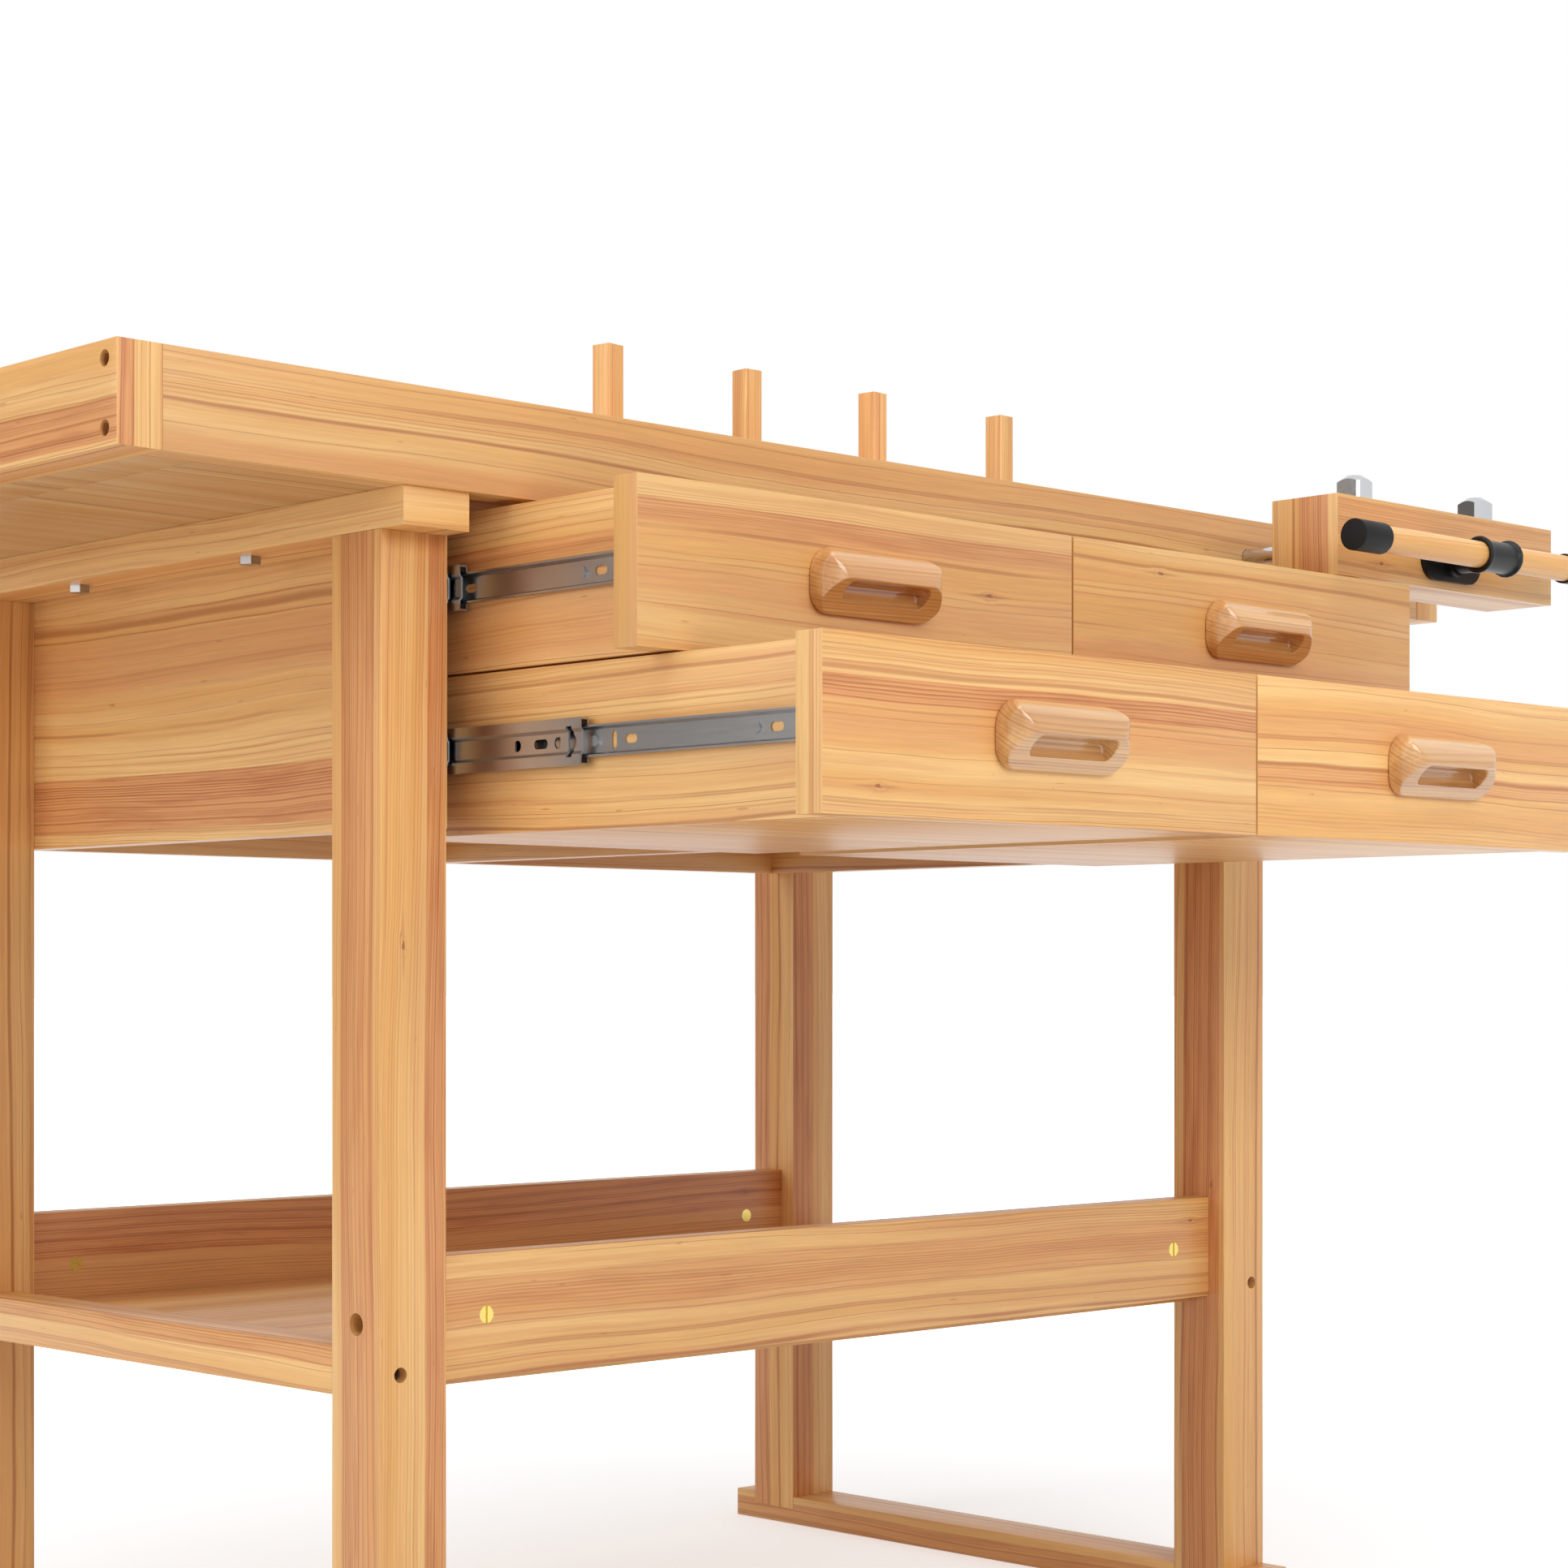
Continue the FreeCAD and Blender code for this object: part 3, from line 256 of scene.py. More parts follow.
def year_lines(s, radius, group, fade, band, grouping):
    """The lines of the years: groups of fine ones, strong single ones, dense ones in a band."""
    drift = s.times(s.noise_of(radius, DRIFT_WAVES), DRIFT)
    grouped = s.times(late_wood(s, radius, drift, GROUPED),
                      s.smooth(group, grouping, grouping + GROUP_EDGE))
    single = s.times(late_wood(s, radius, drift, SINGLE), s.smooth(fade, KEPT_FROM, KEPT_TO))
    dense = s.times(late_wood(s, radius, drift, DENSE), band)
    lines = s.math("MAXIMUM", s.times(grouped, GROUPED.strength),
                   s.times(single, SINGLE.strength))
    return s.math("MAXIMUM", lines, s.times(dense, DENSE.strength))


def pine(name, wood, roughness, coat, coat_roughness, depth, grouping):
    """Pine whose figure runs on each face along the place that the mesh gives it."""
    s = Shader(name)
    grain = s.attribute("grain")
    along, across, through = s.split(grain)
    # The knot layer also carries the board's tone, which is painted shade on the pieces under the
    # top and on the upper front ones.
    knot_along, knot_across, tone_and_painted_shade = s.split(s.attribute("knot"))
    reach = knot_reach(s, grain, knot_along, knot_across)

    # The grain wanders slowly, waves a little, and parts around a knot.
    wander = s.split(s.along_grain(grain, WANDERING).outputs["Color"])
    wave = s.along_grain(grain, WAVING).outputs[0]
    shift = s.add(s.swing(wander[0], WANDER), s.swing(wave, WAVE))
    parting = s.times(s.times(knot_across, -PARTING),
                      s.math("EXPONENT", s.times(s.math("POWER", reach, 2.0), -PARTING_FALL)))
    across = s.add(across, s.add(shift, parting))
    through = s.add(through, s.swing(wander[1], DEPTH_WANDER))
    flow = s.join(along, across, through)
    radius = s.length(across, through)

    fibre = s.along_grain(flow, FIBRES).outputs[0]
    streak = s.along_grain(flow, STREAKS).outputs[0]
    body, group, blush = s.split(s.along_grain(flow, AREAS).outputs["Color"])
    blotch = s.along_grain(flow, BLOTCHES).outputs[0]
    fade = s.along_grain(flow, FADING).outputs[0]

    colour = s.mix(s.smooth(body, PALE_FROM, PALE_TO), wood.honey, wood.pale)
    soft = s.math("MAXIMUM", band_mask(s, "pink", shift, PINK_EDGE), s.shown(blush, BLUSH))
    colour = s.mix(s.times(soft, PINK_STRENGTH), colour, wood.pink)
    colour = s.mix(s.shown(streak, STREAK), colour, wood.pink)

    band = band_mask(s, "red", s.times(shift, RED_FOLLOWS), RED_EDGE)
    red_wood = s.mix(s.shown(blotch, BLOTCH), wood.red, wood.deep)
    colour = s.mix(s.times(band, RED_STRENGTH), colour, red_wood)

    lines = year_lines(s, radius, group, fade, band, grouping)
    colour = s.mix(lines, colour, wood.line)
    specks = s.along_grain(flow, SPECKS).outputs[0]
    colour = s.mix(s.shown(specks, SPECK), colour, wood.deep)
    knot = knot_mark(s, reach, knot_along, knot_across)
    colour = s.mix(s.times(knot, KNOT_STRENGTH), colour, KNOT_COLOUR)

    # Fibre and the board's tone darken the colour; on some pieces that tone is painted shade.
    shade = s.times(s.spread(fibre, *FIBRE_SHADE), s.spread(tone_and_painted_shade, *TONE_AND_PAINTED_SHADE))
    grey = s.node("ShaderNodeCombineColor", {0: shade, 1: shade, 2: shade}).outputs[0]
    s.set(Base_Color=s.mix(1.0, colour, grey, blend="MULTIPLY"))
    s.set(Roughness=s.spread(fibre, roughness - ROUGHNESS_LESS, roughness + ROUGHNESS_MORE))
    s.set(Coat_Weight=coat, Coat_Roughness=coat_roughness)
    s.bump(s.add(s.times(fibre, FIBRE_HEIGHT), s.times(lines, LINE_HEIGHT)), depth)
    return s.material


# ---------------------------------------------------------------- metal and rubber

CLOUD_WAVES = 35.0
WORN_SHADE = 0.82


def metal(name, colour, roughness, spread, grain=(300.0, 300.0, 300.0), metallic=1.0,
          depth=0.004 * MM, gloss=0.5):
    """Metal, or a black covering, with fine uneven gloss."""
    s = Shader(name)
    place = s.node("ShaderNodeTexCoord").outputs["Object"]
    fine = s.noise(s.stretch(place, *grain), detail=3.0).outputs[0]
    cloud = s.noise(place, scale=CLOUD_WAVES).outputs[0]
    s.set(Metallic=metallic, Specular_IOR_Level=gloss)
    darker = tuple(channel * WORN_SHADE for channel in colour[:3]) + (1.0,)
    s.set(Base_Color=s.mix(cloud, darker, colour))
    s.set(Roughness=s.spread(fine, roughness - spread, roughness + spread))
    s.bump(fine, depth)
    return s.material


PINE = Wood(pale=tint(236, 190, 124), honey=tint(224, 168, 97), pink=tint(217, 153, 95),
            red=tint(215, 148, 92), deep=tint(186, 106, 56), line=tint(166, 92, 42))
VARNISHED_PINE = Wood(pale=tint(226, 178, 116), honey=tint(202, 146, 82),
                      pink=tint(202, 142, 86), red=tint(190, 126, 74),
                      deep=tint(170, 100, 52), line=tint(136, 80, 36))

materials = {
    "pine": pine("pine", PINE, roughness=0.42, coat=0.12, coat_roughness=0.22,
                 depth=0.05 * MM, grouping=0.49),
    "varnished_pine": pine("varnished_pine", VARNISHED_PINE, roughness=0.30, coat=1.0,
                           coat_roughness=0.04, depth=0.01 * MM, grouping=0.25),
    "zinc_steel": metal("zinc_steel", tint(178, 178, 180), 0.30, 0.04,
                        grain=(900.0, 30.0, 900.0)),
    "polished_steel": metal("polished_steel", tint(214, 215, 218), 0.12, 0.03),
    "dark_steel": metal("dark_steel", tint(84, 82, 80), 0.34, 0.06),
    "brass": metal("brass", tint(222, 200, 112), 0.28, 0.05),
    "black_iron": metal("black_iron", tint(17, 18, 19), 0.34, 0.06, metallic=0.0,
                        depth=0.02 * MM, gloss=0.28),
    "black_rubber": metal("black_rubber", tint(16, 16, 17), 0.50, 0.06, metallic=0.0,
                          grain=(700.0, 700.0, 700.0), depth=0.03 * MM, gloss=0.2),
    "black_plastic": metal("black_plastic", tint(19, 19, 20), 0.38, 0.05, metallic=0.0,
                           gloss=0.25),
}


# ---------------------------------------------------------------- meshes of the frame's nodes

SAME_PLACE = 0.01 * MM
WELD = 0.005 * MM
FLAT = math.radians(0.5)
AREA_PLAY = 0.0005     # the share by which a solid's area may change where faces join


def solids_of(mesh):
    """The faces of a node's mesh, one list a closed solid, in the order they are kept."""
    places = [tuple(round(value / SAME_PLACE) for value in vertex.co) for vertex in mesh.vertices]
    found, faces, loose = [], [], {}
    for face in mesh.polygons:
        corners = [places[index] for index in face.vertices]
        faces.append(face)
        for edge in zip(corners, corners[1:] + corners[:1]):
            back = edge[::-1]
            if edge[0] == edge[1]:
                continue
            if loose.get(back):
                loose[back] -= 1
                if not loose[back]:
                    del loose[back]
            else:
                loose[edge] = loose.get(edge, 0) + 1
        if not loose:
            found.append(faces)
            faces = []
    return found


def solid_mesh(mesh, faces, whole_faces):
    """One solid of a node as its own bmesh, welded, and if asked with flat faces whole again."""
    solid = bmesh.new()
    made = {}
    for face in faces:
        for index in face.vertices:
            if index not in made:
                made[index] = solid.verts.new(mesh.vertices[index].co)
        solid.faces.new([made[index] for index in face.vertices])
    bmesh.ops.remove_doubles(solid, verts=solid.verts, dist=WELD)
    if whole_faces:
        area = sum(face.calc_area() for face in solid.faces)
        bmesh.ops.dissolve_limit(solid, angle_limit=FLAT, verts=solid.verts, edges=solid.edges)
        kept = sum(face.calc_area() for face in solid.faces)
        if abs(kept / area - 1) > AREA_PLAY:
            solid.free()
            return solid_mesh(mesh, faces, False)
    bmesh.ops.recalc_face_normals(solid, faces=solid.faces)
    return solid


def box_of(solid):
    low = Vector(min(v.co[axis] for v in solid.verts) for axis in range(3))
    high = Vector(max(v.co[axis] for v in solid.verts) for axis in range(3))
    return low, high


def ease(solid, width, shortest=4 * MM, angle=30, segments=2):
    """Rounds the long sharp edges of a solid a little."""
    sharp = [edge for edge in solid.edges
             if len(edge.link_faces) == 2 and edge.calc_length() > shortest
             and edge.calc_face_angle(0) > math.radians(angle)]
    if sharp:
        bmesh.ops.bevel(solid, geom=sharp, offset=width, segments=segments, profile=0.6,
                        affect="EDGES", clamp_overlap=True)


class Figure:
    """What one face of a board shows: its bands and its knot, as shares of its sides."""

    def __init__(self, red=None, pink=None, knot=None, strength=1.0):
        self.red, self.pink, self.knot, self.strength = red, pink, knot, strength


FAR = 9.0                # metres to a band or knot that a face doesn't have
START = (0, 40)          # where along its tree a board was cut, in metres
ROUND_PITH = (15, 40)    # from a round piece to the middle of its tree, in mm
FLAT_PITH = (50, 140)    # and from a board's face
DRAWN_TONE = (0.7, 1.0)


def any_band(dice, chance, least, most):
    """A band somewhere on a face, or none."""
    if dice.random() >= chance:
        return None
    start = dice.uniform(-0.2, 0.8)
    return (start, start + dice.uniform(least, most))


def any_figure(dice):
    """A face that nothing is known of gets a band now and then."""
    red = any_band(dice, 0.35, 0.10, 0.45)
    pink = any_band(dice, 0.6, 0.15, 0.5)
    return Figure(red, pink, strength=dice.uniform(0.35, 0.9))


def face_sides(low, high, along, normal):
    """The axes along the grain's lines and across them, on a face with this normal."""
    first, second = [axis for axis in range(3) if axis != normal]
    if normal == along:
        size = high - low
        return (first, second) if size[first] > size[second] else (second, first)
    return (first, second) if first == along else (second, first)


def band_value(band, strength, place, whole):
    """What a face corner knows of a band: the way from its middle, its half width, strength."""
    if not band:
        return Vector((FAR, 0, 0))
    middle = (band[0] + band[1]) / 2 * whole
    return Vector((place - middle, (band[1] - band[0]) / 2 * whole, strength))


def give_grain(solid, low, high, along, dice, figures, all_round, painted_shade_tone):
    """Writes where each face corner lies in the wood's figure, its bands and its knot."""
    layers = {name: solid.loops.layers.float_vector.new(name)
              for name in ("grain", "red", "pink", "knot")}
    plans = {}
    # The board's drawn tone, or for some pieces a set darker one that is painted shade.
    tone_and_painted_shade = dice.uniform(*DRAWN_TONE)
    if painted_shade_tone is not None:
        tone_and_painted_shade = painted_shade_tone
    pith = Vector((dice.uniform(*START), dice.uniform(*ROUND_PITH) * MM,
                   dice.uniform(*ROUND_PITH) * MM))
    others = [axis for axis in range(3) if axis != along]
    for face in solid.faces:
        face.normal_update()
        normal = max(range(3), key=lambda axis: abs(face.normal[axis]))
        side = face.normal[normal] > 0
        if (normal, side) not in plans:
            figure = figures.get(normal) or any_figure(dice)
            plans[normal, side] = (figure, dice.uniform(*START), dice.uniform(*FLAT_PITH) * MM)
        figure, start, offset = plans[normal, side]
        line, width = face_sides(low, high, along, normal)
        whole = high[width] - low[width]
        red, pink = (None, None) if all_round else (figure.red, figure.pink)
        for loop in face.loops:
            place = loop.vert.co
            share = place[width] - low[width]
            if all_round:
                grain = Vector((pith[0] + place[along], pith[1] + place[others[0]],
                                pith[2] + place[others[1]]))
            else:
                grain = Vector((start + place[line], offset + place[width] - low[width], 0))
            knot = Vector((FAR, FAR, tone_and_painted_shade))
            if figure.knot:
                centre = [low[axis] + part * (high[axis] - low[axis])
                          for axis, part in zip((line, width), figure.knot)]
                knot = Vector((place[line] - centre[0], place[width] - centre[1], tone_and_painted_shade))
            loop[layers["grain"]] = grain
            loop[layers["red"]] = band_value(red, figure.strength, share, whole)
            loop[layers["pink"]] = band_value(pink, figure.strength, share, whole)
            loop[layers["knot"]] = knot


def piece(name, solids, slot, replaces, body, smooth_angle=40):
    """Joins solids in one object that rides on a body and stands for CAD nodes."""
    mesh = bpy.data.meshes.new(name)
    whole = bmesh.new()
    for solid in solids:
        part = bpy.data.meshes.new("part")
        solid.to_mesh(part)
        whole.from_mesh(part)
        bpy.data.meshes.remove(part)
        solid.free()
    whole.to_mesh(mesh)
    whole.free()
    made = bpy.data.objects.new(name, mesh)
    bpy.context.scene.collection.objects.link(made)
    mesh.materials.append(materials[slot])
    mesh.polygons.foreach_set("use_smooth", [True] * len(mesh.polygons))
    mesh.set_sharp_from_angle(angle=math.radians(smooth_angle))
    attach(made, body)
    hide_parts(*replaces)
    return made


EASE = 0.6 * MM                   # the eased edges of boards
THIN = 20 * MM                    # a drawer box's bottom is thinner, its sides are taller
WOOD_ANGLE, PULL_ANGLE = 35, 60   # edges sharper than this are shaded sharp

PULL_PLAN = 17 * MM               # round corners of a pull, seen from above
PULL_TOP = 18 * MM                # and its upper ones, seen from the front
PULL_FOOT = 13 * MM               # and its lower ones
PULL_LIP = 2 * MM                 # how tall the lip's front is
PULL_HEEL = 4 * MM                # depth that is left at the foot, below the lip
PULL_RIM = 16 * MM                # from the pull's ends to its pocket
PULL_SCOOP = 5.6 * MM             # round corners of the pocket
PULL_BROW = 1.2 * MM              # from the lip down to the pocket
PULL_SILL = 13.4 * MM             # from the lip down to the pocket's end
PULL_BACK = 5 * MM                # wood behind the pocket
PULL_RAMP = 7 * MM                # radius of the ramp that leads out of the pocket
PULL_CELL = 0.9 * MM
PULL_WEAR, PULL_SCOOP_WEAR = 16, 8
PULL_SKIN, PULL_SKIN_WEAR = 0.55 * MM, 2

CAST = ("front_vise_screw", "end_vise_screw")
CAST_CELL, CAST_WEAR = 0.9 * MM, 12
CAP_EDGE = 1.4 * MM
SMALL = 30 * MM                   # slides are longer, their clips and screws shorter

# Windows of the inner slide members, whose floors are thin skins in the CAD: the middle's
# distance from the front end, the length and the height.
SLIDE_WINDOWS = ((43 * MM, 11 * MM, 5.6 * MM), (167.8 * MM, 11 * MM, 5.6 * MM),
                 (182.8 * MM, 4.6 * MM, 11 * MM), (309 * MM, 11 * MM, 5.6 * MM))
PLAY = 0.04 * MM
REAR_RAIL = 380 * MM              # nothing of the front rail lies so far back
DOWEL_SHOW = 0.5 * MM

# What single faces show, by node, number of the solid, and axis of the face's normal.
FIGURES = {
    ("legs", 0, X): Figure(red=(0.14, 0.82), strength=0.85),
    ("legs", 0, Y): Figure(red=(0.70, 0.99), knot=(0.663, 0.342)),
    ("legs", 1, X): Figure(pink=(0.6, 1.0)),
    ("legs", 1, Y): Figure(pink=(0.1, 0.5), strength=0.6),
    ("legs", 2, X): Figure(red=(0.08, 0.80), knot=(0.417, 0.256)),
    ("legs", 2, Y): Figure(red=(0.52, 1.1), strength=0.3),
    ("legs", 3, X): Figure(red=(0.60, 1.1)),
    ("legs", 3, Y): Figure(red=(-0.1, 0.50)),
    ("feet", 0, X): Figure(red=(-0.1, 0.7), strength=0.7),
    ("feet", 1, X): Figure(red=(-0.1, 0.7), strength=0.7),
    ("long_shelf_rails", 0, Y): Figure(red=(0.40, 0.80), knot=(0.969, 0.774), strength=0.5),
    ("long_shelf_rails", 1, Y): Figure(red=(0.55, 1.1), pink=(0.0, 0.6), knot=(0.941, 0.774)),
    ("end_shelf_rails", 0, X): Figure(red=(0.62, 1.1), strength=0.7),
    ("side_panels", 0, X): Figure(red=(0.05, 0.24), pink=(0.55, 0.72)),
    ("left_end_cap", 0, X): Figure(red=(0.06, 0.46)),
    ("left_end_cap", 0, Y): Figure(red=(0.05, 0.38)),
    ("front_apron", 0, Y): Figure(pink=(-0.1, 0.16)),
    ("top_beams", 0, Y): Figure(),
    ("top_beams", 0, X): Figure(),
    ("upper_left_drawer_front", 0, Y): Figure(red=(0.72, 0.86), pink=(0.28, 0.44),
                                              knot=(0.786, 0.532), strength=0.75),
    ("upper_right_drawer_front", 0, Y): Figure(pink=(-0.1, 0.34), knot=(0.237, 0.831),
                                               strength=0.9),
    ("lower_left_drawer_front", 0, Y): Figure(red=(0.64, 0.77), pink=(0.44, 0.62),
                                              knot=(0.113, 0.162)),
    ("lower_right_drawer_front", 0, Y): Figure(red=(0.34, 0.46), pink=(0.60, 0.78),
                                               strength=0.7),
    ("upper_left_drawer_front", 0, X): Figure(pink=(0.0, 0.4)),
    ("lower_left_drawer_front", 0, X): Figure(red=(0.30, 0.48), strength=0.7),
    ("front_vise_jaw", 0, Y): Figure(red=(0.50, 0.96), knot=(0.191, 0.205), strength=0.6),
    ("front_vise_jaw", 0, X): Figure(red=(0.14, 0.58)),
}

# How pale single nodes' wood is, from 0 to 1, which is painted shade: darker for the boards and
# bearers under the top, where shade falls, and for the apron, upper drawer fronts and jaw, to
# take back the stronger light that the top lamp gives them. The others are drawn.
PAINTED_SHADE_TONES = {"underside_boards": 0, "top_bearers": 0, "front_apron": 0.52,
         "upper_left_drawer_front": 0.58, "upper_right_drawer_front": 0.55,
         "front_vise_jaw": 0.75}
ROUND_WOOD = ("front_vise_handle", "end_vise_handle")
WOODS = ("pine", "varnished_pine")


def grain_axis(name, size):
    """The axis of the boards' length, apart from the boards that run across a wide sheet."""
    if name == "underside_boards" or (name.endswith("drawer_box") and size[Z] < THIN):
        return X
    return max(range(3), key=lambda axis: size[axis])


def dress_wood(name, slot):
    """Boards with eased edges and grain on every face, and pulls in a form of their own."""
    dice = random.Random(name)
    varnished = slot == "varnished_pine"
    mesh = frame["nodes"][name].data
    solids = []
    for number, faces in enumerate(solids_of(mesh)):
        solid = solid_mesh(mesh, faces, not varnished)
        low, high = box_of(solid)
        if varnished:
            solid.free()
            solid = pull_solid(high - low)
            bmesh.ops.translate(solid, verts=solid.verts,
                                vec=((low[X] + high[X]) / 2, high[Y], (low[Z] + high[Z]) / 2))
        else:
            ease(solid, EASE)
        figures = {axis: FIGURES[name, number, axis] for axis in range(3)
                   if (name, number, axis) in FIGURES}
        # Pieces listed with a set darker tone get painted shade.
        give_grain(solid, low, high, grain_axis(name, high - low), dice, figures,
                   varnished or name in ROUND_WOOD, PAINTED_SHADE_TONES.get(name))
        solids.append(solid)
    piece(name + "_look", solids, slot, [name], bodies[name],
          smooth_angle=PULL_ANGLE if varnished else WOOD_ANGLE)


def workpiece(solid):
    """A passing object that holds a solid while modifiers work on it."""
    mesh = bpy.data.meshes.new("workpiece")
    solid.to_mesh(mesh)
    solid.free()
    thing = bpy.data.objects.new("workpiece", mesh)
    bpy.context.scene.collection.objects.link(thing)
    return thing


def worked(*things):
    """The first object's solid with its modifiers applied. All the objects go."""
    made = bmesh.new()
    made.from_mesh(things[0].evaluated_get(bpy.context.evaluated_depsgraph_get()).to_mesh())
    for thing in things:
        mesh = thing.data
        bpy.data.objects.remove(thing)
        bpy.data.meshes.remove(mesh)
    return made


def smooth_skin(solid, cell, rounds):
    """The same solid with an even skin of small faces, its edges worn soft."""
    thing = workpiece(solid)
    cells = thing.modifiers.new("cells", "REMESH")
    cells.mode = "VOXEL"
    cells.voxel_size = cell
    wear = thing.modifiers.new("wear", "SMOOTH")
    wear.factor, wear.iterations = 0.5, rounds
    return worked(thing)


def joined(operation, solid, *others):
    """A solid with others cut from it, or cut down to what it shares with them."""
    things = [workpiece(item) for item in (solid, *others)]
    for other in things[1:]:
        step = things[0].modifiers.new("step", "BOOLEAN")
        step.operation, step.object, step.solver = operation, other, "EXACT"
    return worked(*things)


def arc(centre_x, centre_y, radius, start, end, steps=12):
    """Points on an arc, with its angles in degrees."""
    angles = [math.radians(start + (end - start) * step / steps) for step in range(steps + 1)]
    return [(centre_x + radius * math.cos(angle), centre_y + radius * math.sin(angle))
            for angle in angles]


def prism(outline, axis, start, end):
    """An outline in the plane across an axis, drawn out along that axis."""
    solid = bmesh.new()
    others = [item for item in range(3) if item != axis]
    corners = []
    for point in outline:
        place = Vector((0, 0, 0))
        place[axis], place[others[0]], place[others[1]] = start, point[0], point[1]
        corners.append(solid.verts.new(place))
    face = solid.faces.new(corners)
    grown = bmesh.ops.extrude_face_region(solid, geom=[face])["geom"]
    way = Vector((0, 0, 0))
    way[axis] = end - start
    bmesh.ops.translate(solid, vec=way,
                        verts=[item for item in grown if isinstance(item, bmesh.types.BMVert)])
    bmesh.ops.recalc_face_normals(solid, faces=solid.faces)
    return solid


def rounded(half, top, bottom, upper, lower):
    """A box's outline about X = 0, with round upper and lower corners."""
    return (arc(half - upper, top - upper, upper, 0, 90)
            + arc(upper - half, top - upper, upper, 90, 180)
            + arc(lower - half, lower + bottom, lower, 180, 270)
            + arc(half - lower, lower + bottom, lower, 270, 360))


def pull_body(half, depth, top):
    """A bullnose with round ends, its lip at half height."""
    plan = [(-half, top)] + arc(PULL_PLAN - half, PULL_PLAN - depth, PULL_PLAN, 180, 270)
    plan += arc(half - PULL_PLAN, PULL_PLAN - depth, PULL_PLAN, 270, 360) + [(half, top)]
    crown = (depth ** 2 + (top - PULL_LIP) ** 2) / (2 * (top - PULL_LIP))
    reach = math.degrees(math.asin(depth / crown))
    side = arc(0, top - crown, crown, 90, 90 + reach) + [(-depth, -top), (top, -top), (top, top)]
    body = joined("INTERSECT", prism(plan, Z, -top, top),
                  prism(rounded(half, top, -top, PULL_TOP, PULL_FOOT), Y, -depth, 0),
                  prism(side, X, -half, half))
    return smooth_skin(body, PULL_CELL, PULL_WEAR)


def pull_pocket(half, depth):
    """What fingers reach into: deep below the lip, with a ramp that leads out."""
    mouth = rounded(half - PULL_RIM, -PULL_BROW, -PULL_SILL, PULL_SCOOP, PULL_SCOOP)
    ramp = arc(-PULL_BACK - PULL_RAMP, PULL_RAMP - PULL_SILL, PULL_RAMP, 0, -90)
    bed = [(-2 * depth, 0), (-PULL_BACK, 0)] + ramp + [(-2 * depth, -PULL_SILL)]
    pocket = joined("INTERSECT", prism(mouth, Y, -2 * depth, 0), prism(bed, X, -half, half))
    return smooth_skin(pocket, PULL_CELL, PULL_SCOOP_WEAR)


def pull_solid(size):
    """A wooden pull about the middle of its box's back, cut back below its lip."""
    half, depth, top = size[X] / 2, size[Y], size[Z] / 2
    below = [(-depth - PULL_LIP, 0), (-depth, 0), (-PULL_HEEL, -top), (-PULL_HEEL, -2 * top),
             (-2 * depth, -2 * top), (-2 * depth, 0)]
    body = joined("DIFFERENCE", pull_body(half, depth, top),
                  prism(below, X, -2 * half, 2 * half), pull_pocket(half, depth))
    return smooth_skin(body, PULL_SKIN, PULL_SKIN_WEAR)


def windows(low, high):
    """Prisms that open an inner slide member's windows right through."""
    cutters = []
    for middle, length, height in SLIDE_WINDOWS:
        width = min(length, height)
        y, z = low[Y] + middle, (low[Z] + high[Z]) / 2
        reach_y, reach_z = (length - width) / 2, (height - width) / 2
        radius = width / 2 - PLAY
        start = -90 if length > height else 0
        outline = arc(y + reach_y, z + reach_z, radius, start, start + 180)
        outline += arc(y - reach_y, z - reach_z, radius, start + 180, start + 360)
        cutters.append(prism(outline, X, low[X] - MM, high[X] + MM))
    return cutters


def show_dowel(solid, low):
    """Lets a rear cross dowel, which ends just short of the rail's inner face, show there."""
    for vertex in solid.verts:
        if vertex.co[Y] < low[Y] + PLAY:
            vertex.co[Y] -= DOWEL_SHOW


def dress_metal(name, slot):
    """Metal and rubber as the CAD has them, with what the photo shows of finer form."""
    mesh = frame["nodes"][name].data
    large, small = [], []
    clips = name.endswith("middle_slides") or name == "cabinet_runners"
    for faces in solids_of(mesh):
        solid = solid_mesh(mesh, faces, False)
        low, high = box_of(solid)
        if name in CAST:
            solid = smooth_skin(solid, CAST_CELL, CAST_WEAR)
        elif slot == "black_rubber":
            ease(solid, CAP_EDGE, shortest=0, segments=3)
        elif name.endswith("drawer_runners") and high[Y] - low[Y] > SMALL:
            solid = joined("DIFFERENCE", solid, *windows(low, high))
        elif name == "barrel_nuts" and low[Y] > REAR_RAIL:
            show_dowel(solid, low)
        (small if clips and max(high - low) < SMALL else large).append(solid)
    piece(name + "_look", large, slot, [name], bodies[name])
    if small:
        clip = piece(name + "_clips", small, "black_rubber", [name], bodies[name])
        clip.data.materials[0] = materials["black_plastic"]


for name, thing in frame["nodes"].items():
    slot = thing.data.materials[0].name
    if slot in WOODS:
        dress_wood(name, slot)
    else:
        dress_metal(name, slot)


# ---------------------------------------------------------------- floor, light and camera

def background_rays(tree):
    """1 where the camera, or a mirror or glass, looks at the background."""
    path = tree.nodes.new("ShaderNodeLightPath")
    total = path.outputs["Is Camera Ray"]
    for name in ("Is Glossy Ray", "Is Transmission Ray"):
        most = tree.nodes.new("ShaderNodeMath")
        most.operation = "MAXIMUM"
        tree.links.new(total, most.inputs[0])
        tree.links.new(path.outputs[name], most.inputs[1])
        total = most.outputs[0]
    return total


def sheet(name, size, material):
    """A flat square of the studio, half as wide as it says to each side."""
    mesh = bpy.data.meshes.new(name)
    grid = bmesh.new()
    bmesh.ops.create_grid(grid, x_segments=1, y_segments=1, size=size)
    grid.to_mesh(mesh)
    grid.free()
    made = bpy.data.objects.new(name, mesh)
    bpy.context.scene.collection.objects.link(made)
    mesh.materials.append(material)
    return made


FLOOR_HALF = 60
FLOOR_DROP = 0.2 * MM
GLOW, FAR_GLOW = 0.45, 0.55    # under the bench, and what is added far from it
GLOW_FROM, GLOW_TO = 0.9, 2.0  # metres from the bench's middle


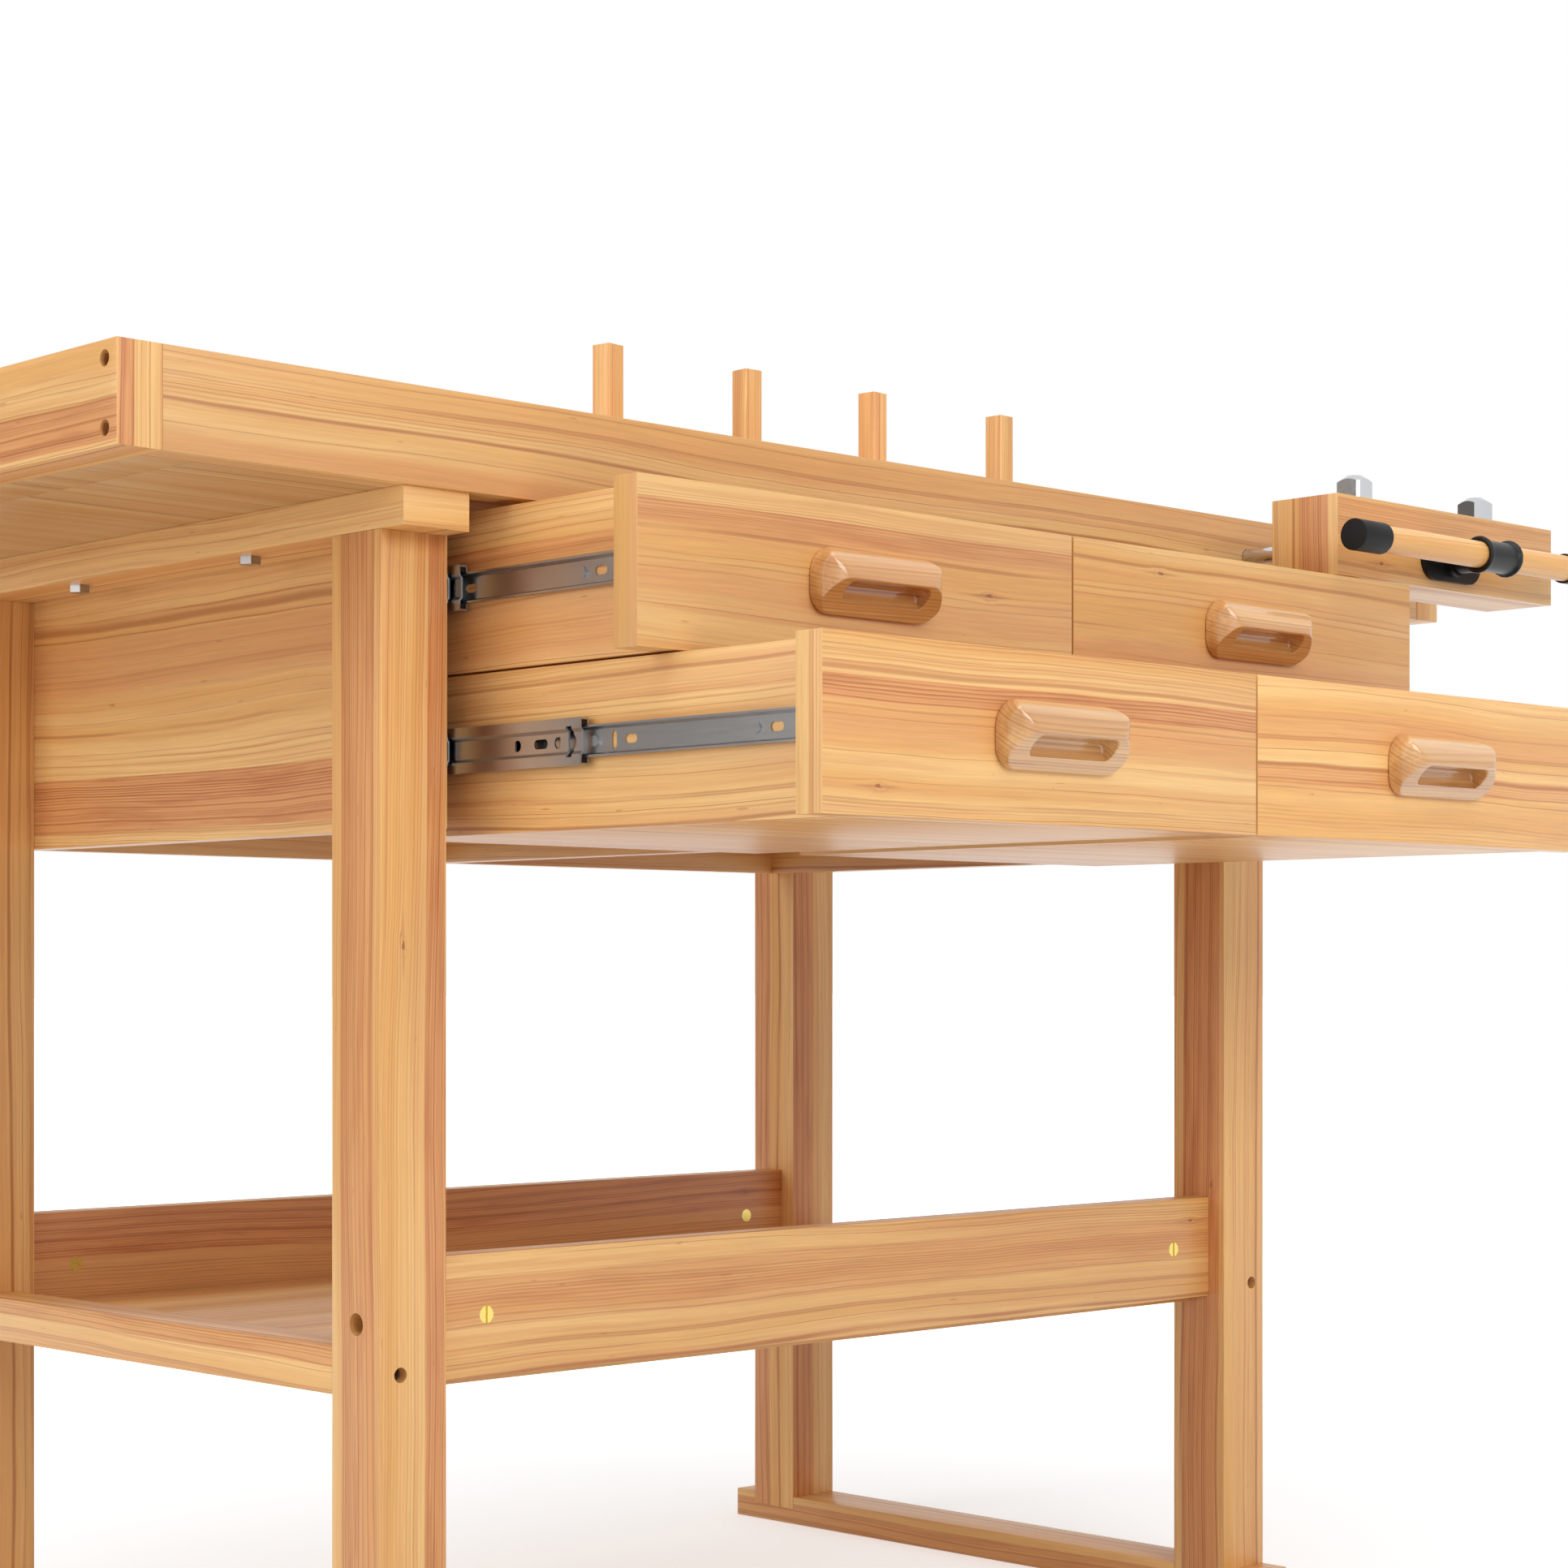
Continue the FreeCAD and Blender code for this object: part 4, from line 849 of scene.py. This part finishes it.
def floor():
    """White to the camera where light falls, a soft grey where the bench keeps it off."""
    s = Shader("floor")
    place = s.node("ShaderNodeTexCoord").outputs["Object"]
    cloud = s.noise(place, scale=3.0).outputs[0]
    s.set(Base_Color=s.mix(cloud, tint(225, 227, 229), tint(228, 230, 232)))
    s.set(Roughness=0.8, Specular_IOR_Level=0.0)
    away = s.node("ShaderNodeVectorMath", {0: place}, operation="LENGTH").outputs["Value"]
    glow = s.add(s.times(s.smooth(away, GLOW_FROM, GLOW_TO), FAR_GLOW), GLOW)
    s.set(Emission_Color=(1, 1, 1, 1), Emission_Strength=s.times(background_rays(s.tree), glow))
    sheet("floor", FLOOR_HALF, s.material).location.z = -FLOOR_DROP


def flag(place, aim, size):
    """A dark card beside the bench that only its metal and varnish mirror."""
    s = Shader("flag")
    cloud = s.noise(s.node("ShaderNodeTexCoord").outputs["Object"], scale=1.5).outputs[0]
    s.set(Base_Color=s.mix(cloud, tint(96, 92, 88), tint(128, 122, 116)))
    card = sheet("flag", size, s.material)
    card.location = place
    card.rotation_euler = (Vector(aim) - Vector(place)).to_track_quat("Z", "Y").to_euler()
    card.visible_camera = False
    card.visible_diffuse = False
    card.visible_shadow = False
    card.visible_transmission = False


def softbox(name, place, aim, width, height, power, colour=(1.0, 1.0, 1.0)):
    """A large soft lamp that looks at a place, its size in metres and its power in watts."""
    light = bpy.data.lights.new(name, "AREA")
    light.shape = "RECTANGLE"
    light.size, light.size_y = width, height
    light.energy = power
    light.color = colour
    made = bpy.data.objects.new(name, light)
    made.location = place
    made.rotation_euler = (Vector(aim) - Vector(place)).to_track_quat("-Z", "Y").to_euler()
    bpy.context.scene.collection.objects.link(made)


SKY_SEEN, SKY_LIGHT = 1.0, 0.55
SKY_COLOUR = (1.0, 0.99, 0.98, 1)


def sky():
    """White where the camera looks past the bench, and soft white light from all around."""
    world = bpy.data.worlds.new("studio")
    bpy.context.scene.world = world
    world.use_nodes = True
    tree = world.node_tree
    tree.nodes.clear()
    out = tree.nodes.new("ShaderNodeOutputWorld")
    seen = tree.nodes.new("ShaderNodeBackground")
    seen.inputs[0].default_value = (1, 1, 1, 1)
    seen.inputs[1].default_value = SKY_SEEN
    lit = tree.nodes.new("ShaderNodeBackground")
    lit.inputs[0].default_value = SKY_COLOUR
    lit.inputs[1].default_value = SKY_LIGHT
    mix = tree.nodes.new("ShaderNodeMixShader")
    tree.links.new(background_rays(tree), mix.inputs[0])
    tree.links.new(lit.outputs[0], mix.inputs[1])
    tree.links.new(seen.outputs[0], mix.inputs[2])
    tree.links.new(mix.outputs[0], out.inputs[0])


def photo_camera():
    """The camera that was fitted to the photo."""
    camera = bpy.data.cameras.new("camera")
    camera.sensor_width = 36
    camera.lens = 72.33
    camera.shift_y = 0.1228
    camera.clip_start = 0.05
    view = bpy.data.objects.new("camera", camera)
    view.location = (-1.64685, -1.6490, 0.4906)
    view.rotation_euler = (math.radians(90), 0, math.radians(-43.911))
    bpy.context.scene.collection.objects.link(view)
    bpy.context.scene.camera = view


MIDDLE = (0, 0, 0.6)
LEFT_END = (-0.4, 0, 0.6)
WARM = (1.0, 0.97, 0.91)

floor()
sky()
flag((-2.4, 2.6, 0.9), MIDDLE, 1.3)
softbox("top", (-0.6, -0.8, 3.4), MIDDLE, 3.0, 3.0, 51)
softbox("front", (-0.7, -3.4, 1.9), MIDDLE, 2.2, 1.4, 48)
softbox("left", (-3.5, 0.9, 1.6), LEFT_END, 2.2, 2.2, 40, WARM)
photo_camera()
bpy.context.scene.view_settings.view_transform = "Standard"
